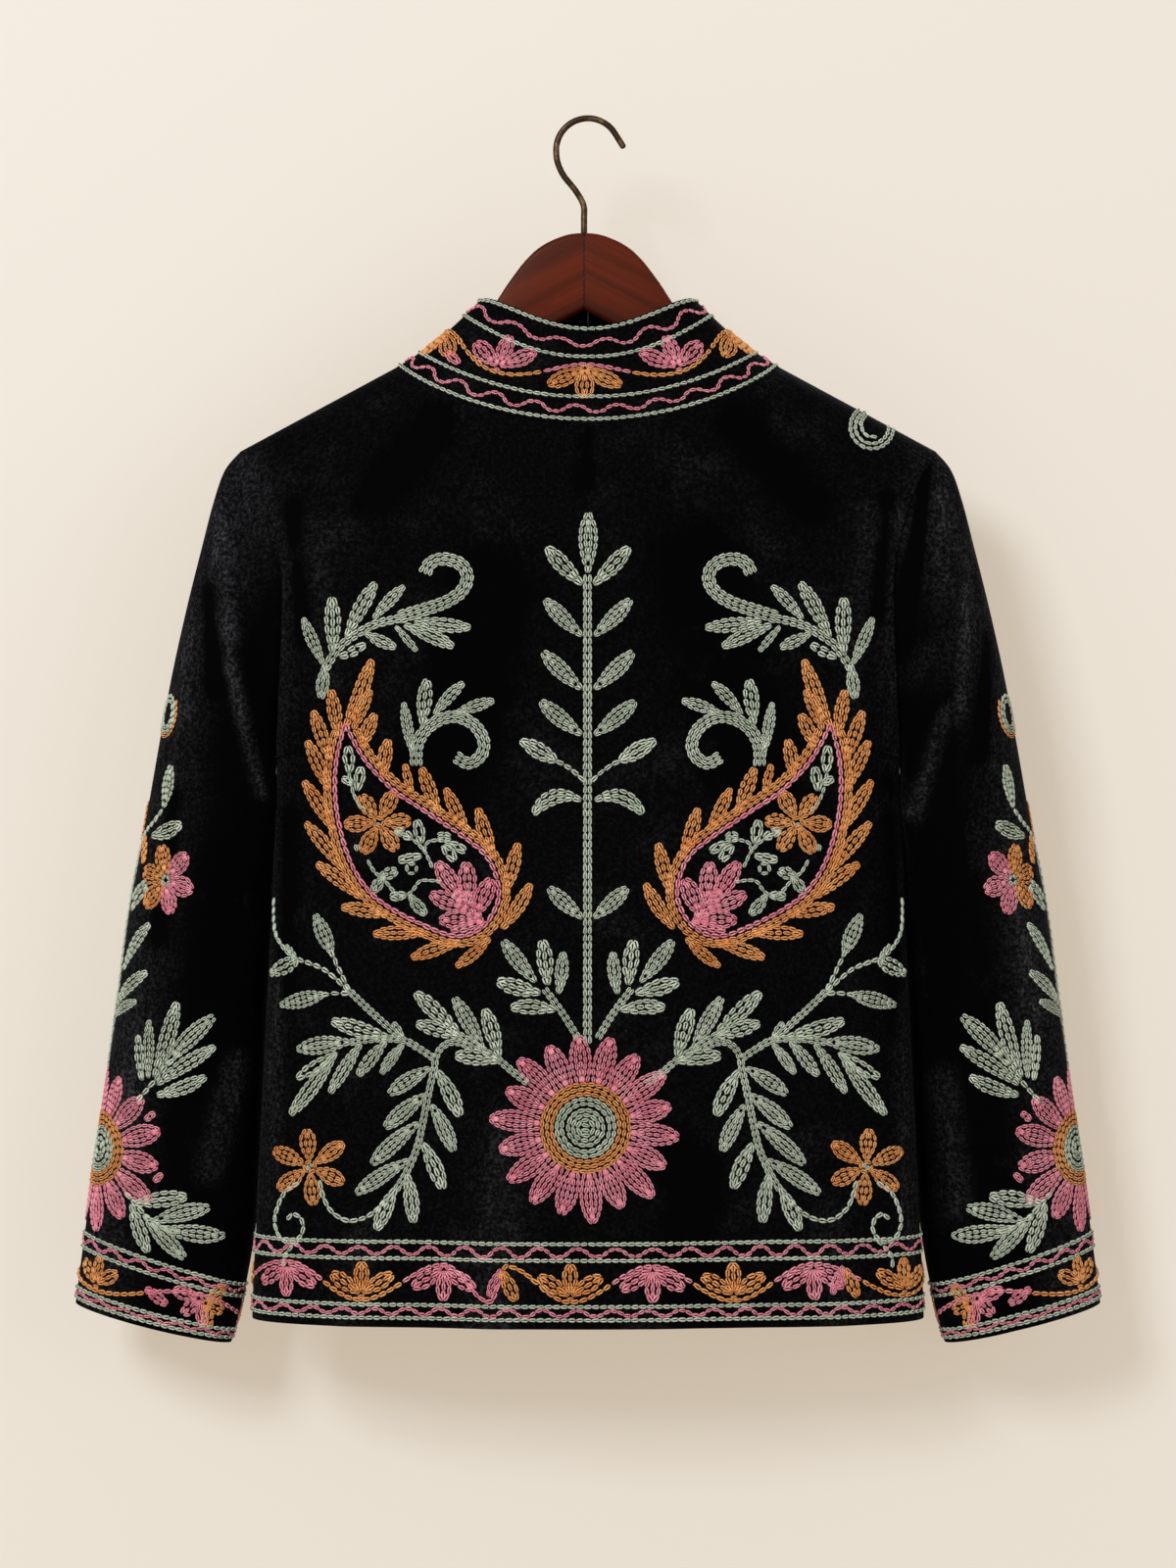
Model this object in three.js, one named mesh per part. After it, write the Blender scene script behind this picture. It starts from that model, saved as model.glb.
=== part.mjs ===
// An embroidered velvet jacket, hung on a wooden hanger with a wire hook.
// Millimetres, +Z up. The origin is the inside top of the hook. +X is the wearer's right and +Y is
// the wearer's front, so the back of the jacket faces -Y. The jacket's middle is the plane x = 0.
import * as THREE from "three";

// Cloth
const WALL = 1.8; // velvet with its turnings
const SEAM = 0.3; // between pieces that are sewn together
const FRONT_GAP = 0.6; // between the two fronts, which meet edge to edge

// Driving sizes of the jacket
const NECK = { halfWidth: 122, sideZ: -157, backZ: -198, frontZ: -192, curve: 1.6 };
const COLLAR = { halfWidth: 68, backDepth: 34, frontDepth: 38, sideZ: -113.5, backZ: -134.7, frontZ: -112.5 };
const COLLAR_BOW = 3.3; // how far the collar's side line dips under its chord
const COLLAR_CURVE = 3.1;
const COLLAR_LEAN = { side: 0.55, middle: 0.98, sideUp: 0.83, middleUp: 0.2 }; // the neck seam's mitre
const SHOULDER = { x: 221.6, z: -210.6 };
const ARMHOLE = { drop: 194.4, halfDepth: 40 };
const HEM_Z = -761.5;
const SIDE_ROUNDING = 0.75; // exponent: 1 is an ellipse, less is flatter with rounder sides
// The heights between which the body's side closes under the arm, and how near to itself the seam pulls
const UNDERARM = { closesFrom: -300, closesTo: -520, pinch: 5 };
const SETTLING = 2; // how soon the rows straighten from the shoulder slope to the level hem

// Half width of the back and fronts at their edge: the armhole first, then the side seam.
const BODY_EDGE = [
  { z: -210.6, x: 221.6 },
  { z: -228, x: 210.5 },
  { z: -246, x: 202.4 },
  { z: -278, x: 193.8 },
  { z: -310, x: 191.9 },
  { z: -379, x: 195.4 },
  { z: -405, x: 198 },
  { z: -497, x: 201.3 },
  { z: -598, x: 206.3 },
  { z: -704, x: 211.3 },
  { z: -761.5, x: 213.8 },
];

// Depth of the body from the plane y = 0, at its middle.
const BODY_DEPTH = [
  { z: -198, back: 58, front: 58 },
  { z: -300, back: 57, front: 56 },
  { z: -405, back: 55, front: 57 },
  { z: -600, back: 58, front: 59 },
  { z: -761.5, back: 62, front: 61 },
];

// Sections of a sleeve: the ends of each on the outer and the inner line, half its depth, and how far
// its middle swings forward. `bow` is the share of the armhole's inward bow that the section keeps.
const SLEEVE = [
  { outX: 221.6, outZ: -210.6, inX: 198, inZ: -405, halfDepth: 40, forward: 0, bow: 1 },
  { outX: 231.5, outZ: -222.5, inX: 198.7, inZ: -407.5, halfDepth: 42, forward: 0.5, bow: 0.85 },
  { outX: 238.5, outZ: -242, inX: 199.4, inZ: -413, halfDepth: 44, forward: 1.5, bow: 0.65 },
  { outX: 246.5, outZ: -272, inX: 199.9, inZ: -423, halfDepth: 46, forward: 3.5, bow: 0.4 },
  { outX: 256, outZ: -309, inX: 200.4, inZ: -437, halfDepth: 48, forward: 6, bow: 0.2 },
  { outX: 265.5, outZ: -350, inX: 200.7, inZ: -456, halfDepth: 49, forward: 9.5, bow: 0 },
  { outX: 274, outZ: -393, inX: 201.2, inZ: -482, halfDepth: 49, forward: 13.5, bow: 0 },
  { outX: 284.5, outZ: -450, inX: 203, inZ: -528, halfDepth: 47, forward: 18, bow: 0 },
  { outX: 294.5, outZ: -505, inX: 205.2, inZ: -573, halfDepth: 44.5, forward: 20, bow: 0 },
  { outX: 302, outZ: -561, inX: 207.6, inZ: -621, halfDepth: 42, forward: 20, bow: 0 },
  { outX: 309, outZ: -612, inX: 209.8, inZ: -662, halfDepth: 39, forward: 20, bow: 0 },
  { outX: 316.5, outZ: -660, inX: 213, inZ: -702, halfDepth: 36, forward: 20, bow: 0 },
  { outX: 323, outZ: -708, inX: 219.5, inZ: -742, halfDepth: 33, forward: 19, bow: 0 },
  { outX: 329, outZ: -755, inX: 229, inZ: -780.5, halfDepth: 31, forward: 18, bow: 0 },
];

// The largest folds, on both sides alike: a line from one end to the other as the jacket is seen from
// behind or in front, how far it spreads, and how high it stands (a trough is below 0).
const SLEEVE_FOLDS = [
  { fromX: 238, fromZ: -250, toX: 211, toZ: -375, spread: 12, height: 5 },
  { fromX: 222, fromZ: -262, toX: 205, toZ: -345, spread: 8, height: -5 },
  { fromX: 232, fromZ: -372, toX: 214, toZ: -445, spread: 10, height: -4 },
  { fromX: 243, fromZ: -455, toX: 262, toZ: -545, spread: 13, height: 3 },
];
const BODY_FOLDS = [
  { fromX: 181, fromZ: -285, toX: 178, toZ: -375, spread: 11, height: 3 },
  { fromX: 176, fromZ: -430, toX: 186, toZ: -690, spread: 20, height: 3 },
  { fromX: 96, fromZ: -560, toX: 104, toZ: -750, spread: 26, height: -3 },
];

// How finely each piece is faceted
const ARMHOLE_ROWS = 11;
const SIDE_ROWS = 8;
const NECK_STEP = 18; // degrees round the neck
const SIDE_COLUMNS = [42, 51, 61, 71, 81, 90]; // degrees round the body, from the neck point to the side
const SLEEVE_ROWS = 17;
const COLLAR_ROWS = 4;

// Hanger
const HANGER_MIDDLE = -2.5; // the mitre and the stem stand a little to one side
const BOARD = { thickness: 12, edge: 4, notchZ: -120.6, undersideSlope: 0.53, tip: 202, tipRound: 7 };
// The board's top edge, by distance from the mitre, up to where the shoulders rest on it.
const BOARD_TOP = [
  { out: 0, z: -71.3 },
  { out: 8.5, z: -72 },
  { out: 17, z: -74.6 },
  { out: 26, z: -79 },
  { out: 34, z: -85.5 },
  { out: 44, z: -97.5 },
  { out: 55.5, z: -114.8 },
  { out: 78, z: -138 },
  { out: 104, z: -155 },
];
const BOARD_REST = [128, 150, 172, 190]; // distances along which the shoulders rest
const HOOK = { wire: 4.1, insideRadius: 18.2, steps: 44, sides: 10 };

const { clamp, degToRad, lerp, smoothstep } = THREE.MathUtils;
const vector = (x, y, z) => new THREE.Vector3(x, y, z);

const materials = {
  velvet: new THREE.MeshStandardMaterial({ color: 0x0d0c0f, roughness: 0.95, metalness: 0 }),
  wood: new THREE.MeshStandardMaterial({ color: 0x5e2415, roughness: 0.45, metalness: 0 }),
  bronze: new THREE.MeshStandardMaterial({ color: 0x5a4632, roughness: 0.4, metalness: 0.9 }),
};

// A smooth curve through the rows of a table, read at `place` counted in rows.
function smoothRow(table, place) {
  const row = Math.min(Math.floor(place), table.length - 2);
  const t = place - row;
  const at = (i) => table[clamp(i, 0, table.length - 1)];
  const [a, b, c, d] = [at(row - 1), at(row), at(row + 1), at(row + 2)];
  const read = {};
  for (const key of Object.keys(b)) {
    const curve = 2 * a[key] - 5 * b[key] + 4 * c[key] - d[key];
    const twist = 3 * b[key] - a[key] - 3 * c[key] + d[key];
    read[key] = b[key] + 0.5 * t * (c[key] - a[key] + t * (curve + t * twist));
  }
  return read;
}

// The table's row at a given value of its falling or rising column `key`.
function rowAt(table, key, value) {
  const rising = table[1][key] > table[0][key];
  let row = 0;
  while (row < table.length - 2 && (rising ? table[row + 1][key] < value : table[row + 1][key] > value)) {
    row += 1;
  }
  const span = table[row + 1][key] - table[row][key];
  return smoothRow(table, row + clamp((value - table[row][key]) / span, 0, 1));
}

// How far the folds lift the cloth at a place on it.
function relief(folds, x, z) {
  let lift = 0;
  for (const { fromX, fromZ, toX, toZ, spread, height } of folds) {
    const run = new THREE.Vector2(toX - fromX, toZ - fromZ);
    const offset = new THREE.Vector2(Math.abs(x) - fromX, z - fromZ);
    const share = clamp(offset.dot(run) / run.lengthSq(), 0, 1);
    lift += height * Math.exp(-((offset.addScaledVector(run, -share).length() / spread) ** 2));
  }
  return lift;
}

// The height of the neck seam. The angle is 0 at the back's middle and 90 degrees at a shoulder.
function neckZ(angle) {
  const fall = (Math.cos(angle) > 0 ? NECK.backZ : NECK.frontZ) - NECK.sideZ;
  return NECK.sideZ + fall * Math.abs(Math.cos(angle)) ** NECK.curve;
}

// The height of the shoulders' ridge, which goes on as if there were no neck hole.
function ridgeZ(x) {
  const share = (Math.abs(x) - NECK.halfWidth) / (SHOULDER.x - NECK.halfWidth);
  return lerp(NECK.sideZ, SHOULDER.z, share);
}

// How far the body has opened towards its full depth, at a drop below the ridge.
function openingAt(drop) {
  return Math.sqrt(1 - (1 - clamp(drop / (ARMHOLE.drop / 2), 0, 1)) ** 2);
}

// A point of the neck seam, which is the top edge of the back or of a front.
function neckPoint(angle) {
  const turn = Math.asin((NECK.halfWidth * Math.sin(angle)) / SHOULDER.x);
  return bodyPoint(Math.cos(angle) > 0 ? -1 : 1, turn, 0);
}

// The way that a wall's edge goes in at the neck seam, halfway between the body and the collar.
function neckInward(angle) {
  const [across, along] = [Math.sin(angle), Math.cos(angle)];
  const up = COLLAR_LEAN.sideUp * across ** 2 + COLLAR_LEAN.middleUp * along ** 2;
  return vector(-COLLAR_LEAN.side * across, COLLAR_LEAN.middle * along, -up).setLength(WALL);
}

// The collar at an angle round the neck, from its seam (height 0) to its rim (height 1).
function collarPoint(angle, height) {
  const [across, along] = [Math.sin(angle), Math.cos(angle)];
  const back = along > 0;
  const fall = (back ? COLLAR.backZ : COLLAR.frontZ) - COLLAR.sideZ;
  const rim = vector(
    COLLAR.halfWidth * across,
    -(back ? COLLAR.backDepth : COLLAR.frontDepth) * along,
    COLLAR.sideZ + fall * Math.abs(along) ** COLLAR_CURVE,
  );
  const point = neckPoint(angle).lerp(rim, height);
  point.z -= COLLAR_BOW * Math.sin(Math.PI * height) * Math.abs(across);
  return point;
}

// The armhole seam on the wearer's right. The angle is 0 at the shoulder and 180 degrees underarm.
function armholePoint(angle) {
  const z = SHOULDER.z - (ARMHOLE.drop * (1 - Math.cos(angle))) / 2;
  return vector(rowAt(BODY_EDGE, "z", z).x, -ARMHOLE.halfDepth * Math.sin(angle), z);
}

function armholeInward(angle) {
  const inward = vector(0, Math.sin(angle) / ARMHOLE.halfDepth, -Math.cos(angle) / (ARMHOLE.drop / 2));
  return inward.setLength(WALL);
}

// A point of the back (side -1) or the fronts (side 1). `turn` goes round the body, from -90 degrees
// at one side over 0 in the middle, and `row` is 0 at the top, 1 under the arm and 2 at the hem.
function bodyPoint(side, turn, row) {
  const upper = Math.min(row, 1);
  const lower = Math.max(row - 1, 0);
  const underarmZ = SHOULDER.z - ARMHOLE.drop;
  const edgeZ = SHOULDER.z - (ARMHOLE.drop * (1 - Math.cos(Math.PI * upper))) / 2 + lower * (HEM_Z - underarmZ);
  const topX = SHOULDER.x * Math.sin(turn);
  const x = rowAt(BODY_EDGE, "z", edgeZ).x * Math.sin(turn);
  const settled = (1 - (SHOULDER.z - edgeZ) / (SHOULDER.z - HEM_Z)) ** SETTLING;
  const neckAngle = Math.asin(Math.min(Math.abs(topX) / NECK.halfWidth, 1));
  const inNeck = Math.abs(topX) < NECK.halfWidth;
  const top = inNeck ? neckZ(side > 0 ? Math.PI - neckAngle : neckAngle) : ridgeZ(topX);
  const z = edgeZ + (top - SHOULDER.z) * settled;
  const seamDepth = row < 1 ? ARMHOLE.halfDepth * Math.sin(Math.PI * Math.max(row, 0.5)) : 0;
  const fullDepth = ARMHOLE.halfDepth * smoothstep(edgeZ, UNDERARM.closesTo, UNDERARM.closesFrom);
  const middle = rowAt(BODY_DEPTH, "z", z)[side < 0 ? "back" : "front"];
  const round = Math.cos(turn) ** SIDE_ROUNDING;
  const pinch = (fullDepth - seamDepth) * (1 - Math.cos(turn)) ** UNDERARM.pinch;
  const depth = fullDepth + (middle - fullDepth) * round - pinch;
  const folded = relief(BODY_FOLDS, x, z) * Math.cos(turn) * smoothstep(row, 0, 0.4);
  return vector(x, side * (depth * openingAt(ridgeZ(topX) - z) + folded), z);
}

// A point of the right sleeve, from the armhole (along 0) to the cuff (along 1). The angle is 0 on
// the outer line, 90 degrees behind and 180 on the inner line.
function sleevePoint(along, angle) {
  const section = smoothRow(SLEEVE, along * (SLEEVE.length - 1));
  const outer = vector(section.outX, section.forward, section.outZ);
  const inner = vector(section.inX, section.forward, section.inZ);
  const share = (1 - Math.cos(angle)) / 2;
  const point = outer.lerp(inner, share);
  const seam = armholePoint(angle);
  point.x -= section.bow * (lerp(SHOULDER.x, armholePoint(Math.PI).x, share) - seam.x);
  const lift = relief(SLEEVE_FOLDS, point.x, point.z) * smoothstep(along, 0, 0.12);
  point.y -= (section.halfDepth + lift) * Math.sin(angle);
  return point;
}

// The unit normal of a surface at (a, b), on the side away from `middle`.
function normalOf(surface, a, b, limits, middle) {
  const step = 1e-3;
  const read = (da, db) => surface(clamp(a + da, ...limits[0]), clamp(b + db, ...limits[1]));
  const alongA = read(step, 0).sub(read(-step, 0));
  const alongB = read(0, step).sub(read(0, -step));
  const normal = alongA.cross(alongB).normalize();
  const outward = surface(a, b).sub(middle(surface(a, b)));
  return normal.dot(outward) < 0 ? normal.negate() : normal;
}

function signedVolume(points, triangles) {
  let volume = 0;
  for (let i = 0; i < triangles.length; i += 3) {
    const [a, b, c] = [0, 1, 2].map((k) => points[triangles[i + k]]);
    volume += a.dot(b.clone().cross(c)) / 6;
  }
  return volume;
}

function meshOf(name, material, points, triangles) {
  const outward = signedVolume(points, triangles) > 0;
  const geometry = new THREE.BufferGeometry().setFromPoints(points);
  geometry.setIndex(outward ? triangles : triangles.reverse());
  geometry.computeVertexNormals();
  const mesh = new THREE.Mesh(geometry, material);
  mesh.name = name;
  return mesh;
}

// A closed wall between the outer points of a grid and the same points moved in. `outer` and
// `inward` are read at (column, row). A grid that closes round joins its last column to its first.
function clothWall(name, columns, rows, closesRound, outer, inward) {
  const points = [];
  for (let i = 0; i < columns; i += 1) {
    for (let j = 0; j < rows; j += 1) {
      points.push(outer(i, j), outer(i, j).add(inward(i, j)));
    }
  }
  const at = (i, j, layer) => ((i % columns) * rows + j) * 2 + layer;
  const triangles = [];
  const quad = (a, b, c, d) => triangles.push(a, b, c, a, c, d);
  const spans = closesRound ? columns : columns - 1;
  for (let i = 0; i < spans; i += 1) {
    for (let j = 0; j < rows - 1; j += 1) {
      quad(at(i, j, 0), at(i + 1, j, 0), at(i + 1, j + 1, 0), at(i, j + 1, 0));
      quad(at(i, j, 1), at(i, j + 1, 1), at(i + 1, j + 1, 1), at(i + 1, j, 1));
    }
    quad(at(i, 0, 0), at(i, 0, 1), at(i + 1, 0, 1), at(i + 1, 0, 0));
    quad(at(i, rows - 1, 0), at(i + 1, rows - 1, 0), at(i + 1, rows - 1, 1), at(i, rows - 1, 1));
  }
  for (let j = 0; j < rows - 1 && !closesRound; j += 1) {
    quad(at(0, j, 0), at(0, j + 1, 0), at(0, j + 1, 1), at(0, j, 1));
    const last = columns - 1;
    quad(at(last, j, 0), at(last, j, 1), at(last, j + 1, 1), at(last, j + 1, 0));
  }
  return meshOf(name, materials.velvet, points, triangles);
}

const NECK_ANGLES = [];
for (let angle = 0; angle <= 90; angle += NECK_STEP) NECK_ANGLES.push(degToRad(angle));

// Turns of the body's columns from its middle to one side. Those at the neck match the collar's.
const HALF_TURNS = [
  ...NECK_ANGLES.map((angle) => Math.asin((NECK.halfWidth * Math.sin(angle)) / SHOULDER.x)),
  ...SIDE_COLUMNS.map(degToRad),
];
const ROWS = [];
for (let i = 0; i <= ARMHOLE_ROWS; i += 1) ROWS.push(i / ARMHOLE_ROWS);
for (let i = 1; i <= SIDE_ROWS; i += 1) ROWS.push(1 + i / SIDE_ROWS);

// A panel of the body: the back, or one front. Its columns stand at the given turns.
function panel(name, side, turns) {
  const surface = (turn, row) => bodyPoint(side, turn, row);
  const quarter = Math.PI / 2;
  const middle = (point) => vector(point.x * 0.9, 0, point.z - 60);
  const isEdge = (turn) => Math.abs(turn) > quarter - 1e-6;
  const outer = (i, j) => {
    const [turn, row] = [turns[i], ROWS[j]];
    const point = surface(turn, row);
    point.y = side * Math.max(Math.abs(point.y), SEAM / 2);
    if (isEdge(turn) && row < 1) point.x -= (Math.sign(turn) * SEAM) / 2;
    if (row === 0 && Math.abs(turn) <= HALF_TURNS[NECK_ANGLES.length - 1]) point.z -= SEAM / 2;
    if (side > 0 && turn === 0) point.x = (turns[turns.length - 1] > 0 ? 1 : -1) * (FRONT_GAP / 2);
    return point;
  };
  const inward = (i, j) => {
    const [turn, row] = [turns[i], ROWS[j]];
    const neckTurn = HALF_TURNS[NECK_ANGLES.length - 1];
    if (isEdge(turn) && row <= 1) {
      const edge = armholeInward(Math.PI * row);
      edge.y *= -side;
      return edge;
    }
    if (isEdge(turn)) return vector(-Math.sign(turn) * WALL, 0, 0);
    if (row === 0 && Math.abs(turn) > neckTurn + 1e-6) return vector(0, 0, -WALL);
    if (row === 0) {
      const angle = Math.asin(clamp((SHOULDER.x * Math.sin(turn)) / NECK.halfWidth, -1, 1));
      return neckInward(side < 0 ? angle : Math.PI - angle);
    }
    if (side > 0 && turn === 0) return vector(0, -WALL, 0);
    const limits = [[-quarter, quarter], [0, 2]];
    return normalOf(surface, turn, row, limits, middle).multiplyScalar(-WALL);
  };
  return clothWall(name, turns.length, ROWS.length, false, outer, inward);
}

function collar() {
  const half = [...NECK_ANGLES];
  for (const angle of NECK_ANGLES.slice(0, -1).reverse()) half.push(Math.PI - angle);
  const angles = [...half.slice(1).reverse().map((angle) => -angle), ...half];
  const middle = (point) => vector(0, 0, point.z - 30);
  const limits = [[-Math.PI, Math.PI], [0, 1]];
  const outer = (i, j) => {
    const point = collarPoint(angles[i], j / COLLAR_ROWS);
    const atEnd = i === 0 || i === angles.length - 1;
    if (atEnd) point.x = (Math.sign(angles[i]) * FRONT_GAP) / 2;
    if (j === 0) point.z += SEAM / 2;
    return point;
  };
  const inward = (i, j) => {
    if (j === 0) return neckInward(angles[i]);
    const normal = normalOf(collarPoint, angles[i], j / COLLAR_ROWS, limits, middle);
    if (i === 0 || i === angles.length - 1) normal.x = 0;
    return normal.setLength(-WALL);
  };
  return clothWall("collar", angles.length, COLLAR_ROWS + 1, false, outer, inward);
}

// A sleeve: the right one for a sign of 1, and its mirror image for -1.
function sleeve(name, sign) {
  const columns = 2 * ARMHOLE_ROWS;
  const angleOf = (i) => (2 * Math.PI * i) / columns;
  const alongOf = (j) => (j / SLEEVE_ROWS) ** 1.15;
  const limits = [[0, 1], [-Math.PI, 3 * Math.PI]];
  const mirrored = (point) => point.multiply(vector(sign, 1, 1));
  const outer = (i, j) => {
    const point = sleevePoint(alongOf(j), angleOf(i));
    if (j === 0) point.x += SEAM / 2;
    return mirrored(point);
  };
  const inward = (i, j) => {
    if (j === 0) return armholeInward(angleOf(i));
    const { outX, outZ, inX, inZ, forward } = smoothRow(SLEEVE, alongOf(j) * (SLEEVE.length - 1));
    const middle = () => vector((outX + inX) / 2, forward, (outZ + inZ) / 2);
    const normal = normalOf(sleevePoint, alongOf(j), angleOf(i), limits, middle);
    return mirrored(normal.multiplyScalar(-WALL));
  };
  return clothWall(name, columns, SLEEVE_ROWS + 1, true, outer, inward);
}

// How far the board's top stays under the shoulder seam, so that the cloth's inner faces rest on it.
function restDepth() {
  const first = Math.PI / ARMHOLE_ROWS;
  const run = ARMHOLE.halfDepth * Math.sin(first);
  const fall = (ARMHOLE.drop * (1 - Math.cos(first))) / 2;
  const flatHalf = BOARD.thickness / 2 - BOARD.edge;
  return WALL + SEAM + flatHalf * (fall / run);
}

// One mitred half of the hanger's board, from the middle to a tip, as sections with rounded edges.
function hangerArm(name, sign) {
  const stations = BOARD_TOP.map(({ out, z }) => ({ x: HANGER_MIDDLE + sign * out, top: z }));
  stations[0].x += (sign * SEAM) / 2;
  for (const out of BOARD_REST) stations.push({ x: sign * out, top: ridgeZ(out) - restDepth() });
  const underside = (x) => BOARD.notchZ - Math.abs(x - HANGER_MIDDLE) * BOARD.undersideSlope;
  const sections = stations.map(({ x, top }) => ({ x, top, bottom: underside(x) }));
  for (const share of [0.3, 0.75, 1]) {
    const x = BOARD.tip - BOARD.tipRound * (1 - share);
    const pull = BOARD.tipRound * (1 - Math.sqrt(1 - share ** 2));
    const top = ridgeZ(x) - restDepth() - pull;
    sections.push({ x: sign * x, top, bottom: underside(sign * x) + pull });
  }
  const half = BOARD.thickness / 2;
  const points = [];
  const ring = [];
  for (const [cornerY, cornerZ, start] of [[1, 1, 0], [-1, 1, 90], [-1, -1, 180], [1, -1, 270]]) {
    for (const extra of [0, 45, 90]) ring.push({ cornerY, cornerZ, angle: degToRad(start + extra) });
  }
  for (const { x, top, bottom } of sections) {
    const edge = Math.min(BOARD.edge, (top - bottom) / 3);
    for (const { cornerY, cornerZ, angle } of ring) {
      const z = cornerZ > 0 ? top - edge : bottom + edge;
      points.push(vector(x, cornerY * (half - edge) + edge * Math.cos(angle), z + edge * Math.sin(angle)));
    }
  }
  const sides = ring.length;
  const triangles = [];
  for (let s = 0; s < sections.length - 1; s += 1) {
    for (let k = 0; k < sides; k += 1) {
      const [a, b] = [s * sides + k, s * sides + ((k + 1) % sides)];
      triangles.push(a, b, b + sides, a, b + sides, a + sides);
    }
  }
  const last = (sections.length - 1) * sides;
  for (let k = 1; k < sides - 1; k += 1) {
    triangles.push(0, k + 1, k, last, last + k, last + k + 1);
  }
  return meshOf(name, materials.wood, points, triangles);
}

// The wire hook: a stem that stands on the mitre, an S bend, and an arc that opens to one side.
function hangerHook() {
  const radius = HOOK.insideRadius + HOOK.wire / 2;
  const foot = BOARD_TOP[0].z + SEAM;
  const path = [
    vector(HANGER_MIDDLE, 0, foot),
    vector(HANGER_MIDDLE, 0, foot + 9),
    vector(HANGER_MIDDLE - 0.4, 0, foot + 18),
    vector(HANGER_MIDDLE - 5.8, 0, foot + 27.5),
    vector(HANGER_MIDDLE - 13, 0, foot + 36.5),
    vector(-radius + 0.9, 0, foot + 45),
  ];
  for (let angle = 180; angle >= 30; angle -= 15) {
    const turn = degToRad(angle);
    path.push(vector(radius * Math.cos(turn), 0, -HOOK.insideRadius + radius * Math.sin(turn)));
  }
  path.push(vector(radius + 2, 0, -HOOK.insideRadius + 2.5));
  const section = new THREE.Shape();
  for (let k = 0; k < HOOK.sides; k += 1) {
    const turn = (2 * Math.PI * k) / HOOK.sides;
    const [x, y] = [(HOOK.wire / 2) * Math.cos(turn), (HOOK.wire / 2) * Math.sin(turn)];
    if (k === 0) section.moveTo(x, y);
    else section.lineTo(x, y);
  }
  const geometry = new THREE.ExtrudeGeometry(section, {
    steps: HOOK.steps,
    extrudePath: new THREE.CatmullRomCurve3(path),
  });
  const mesh = new THREE.Mesh(geometry, materials.bronze);
  mesh.name = "hanger_hook";
  return mesh;
}

const mirroredTurns = HALF_TURNS.slice(1).reverse().map((turn) => -turn);

const jacket = new THREE.Group();
jacket.add(panel("back", -1, [...mirroredTurns, ...HALF_TURNS]));
jacket.add(panel("front_left", 1, [...mirroredTurns, 0]));
jacket.add(panel("front_right", 1, HALF_TURNS));
jacket.add(sleeve("sleeve_left", -1));
jacket.add(sleeve("sleeve_right", 1));
jacket.add(collar());

const hanger = new THREE.Group();
hanger.add(hangerArm("hanger_arm_left", -1));
hanger.add(hangerArm("hanger_arm_right", 1));
hanger.add(hangerHook());

const hungJacket = new THREE.Group();
hungJacket.add(jacket, hanger);

export default hungJacket;
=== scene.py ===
"""The dressed model of an embroidered velvet jacket on a wooden hanger.

Sizes are in millimetres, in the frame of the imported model: +Z is up, +X is the wearer's right and +Y the
wearer's front, so the back of the jacket faces -Y. They turn into metres where a mesh is made.
"""

from __future__ import annotations

import logging
import math
from dataclasses import dataclass, field
from enum import Enum
from functools import partial
from typing import Any, Callable, Iterable, NamedTuple, Protocol, Sequence

import bpy
import numpy as np
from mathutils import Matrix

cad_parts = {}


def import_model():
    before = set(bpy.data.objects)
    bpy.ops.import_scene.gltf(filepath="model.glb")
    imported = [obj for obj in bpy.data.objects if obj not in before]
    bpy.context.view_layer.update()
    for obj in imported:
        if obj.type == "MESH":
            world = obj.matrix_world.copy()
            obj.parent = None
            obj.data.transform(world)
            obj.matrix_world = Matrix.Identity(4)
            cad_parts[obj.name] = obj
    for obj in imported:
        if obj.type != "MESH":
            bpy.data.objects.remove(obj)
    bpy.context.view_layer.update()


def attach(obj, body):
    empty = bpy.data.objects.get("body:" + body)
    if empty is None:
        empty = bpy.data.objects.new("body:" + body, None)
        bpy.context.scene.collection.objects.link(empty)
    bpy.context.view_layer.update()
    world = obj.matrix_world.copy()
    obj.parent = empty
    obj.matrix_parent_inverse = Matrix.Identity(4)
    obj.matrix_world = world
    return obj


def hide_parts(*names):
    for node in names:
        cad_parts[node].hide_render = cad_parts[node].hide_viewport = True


log = logging.getLogger("jacket")

Array = np.ndarray
MM = 0.001
BODY = "root"

WALL = 1.8  # velvet with its turnings
SEAM = 0.3  # between pieces that are sewn together
FRONT_GAP = 0.02  # between the two fronts
EYE = 2400.0  # from the middle of the jacket to the eye
EYE_Z = -422.5

HEM_Z = -761.5
NECK_HALF_WIDTH = 122.0
SHOULDER_X = 221.6
SHOULDER_Z = -210.6
ARMHOLE_DROP = 194.4
ARMHOLE_HALF_DEPTH = 40.0
NEAR_SIDE = 0.995  # of a panel's half width, as far as a drawing on it goes

ROW = 3.15  # from one row of chain stitch to the next
REACH_ON = 0.8  # of a leaf past the ends of its spine
ROOTED = 2.2  # how far a leaf goes on under what it grows from


class Yarn(Enum):
    """The embroidery yarns, by the finish that each takes."""

    GREEN = "embroidery_green"
    ORANGE = "embroidery_orange"
    ROSE = "embroidery_rose"


# --- curves ---


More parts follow.
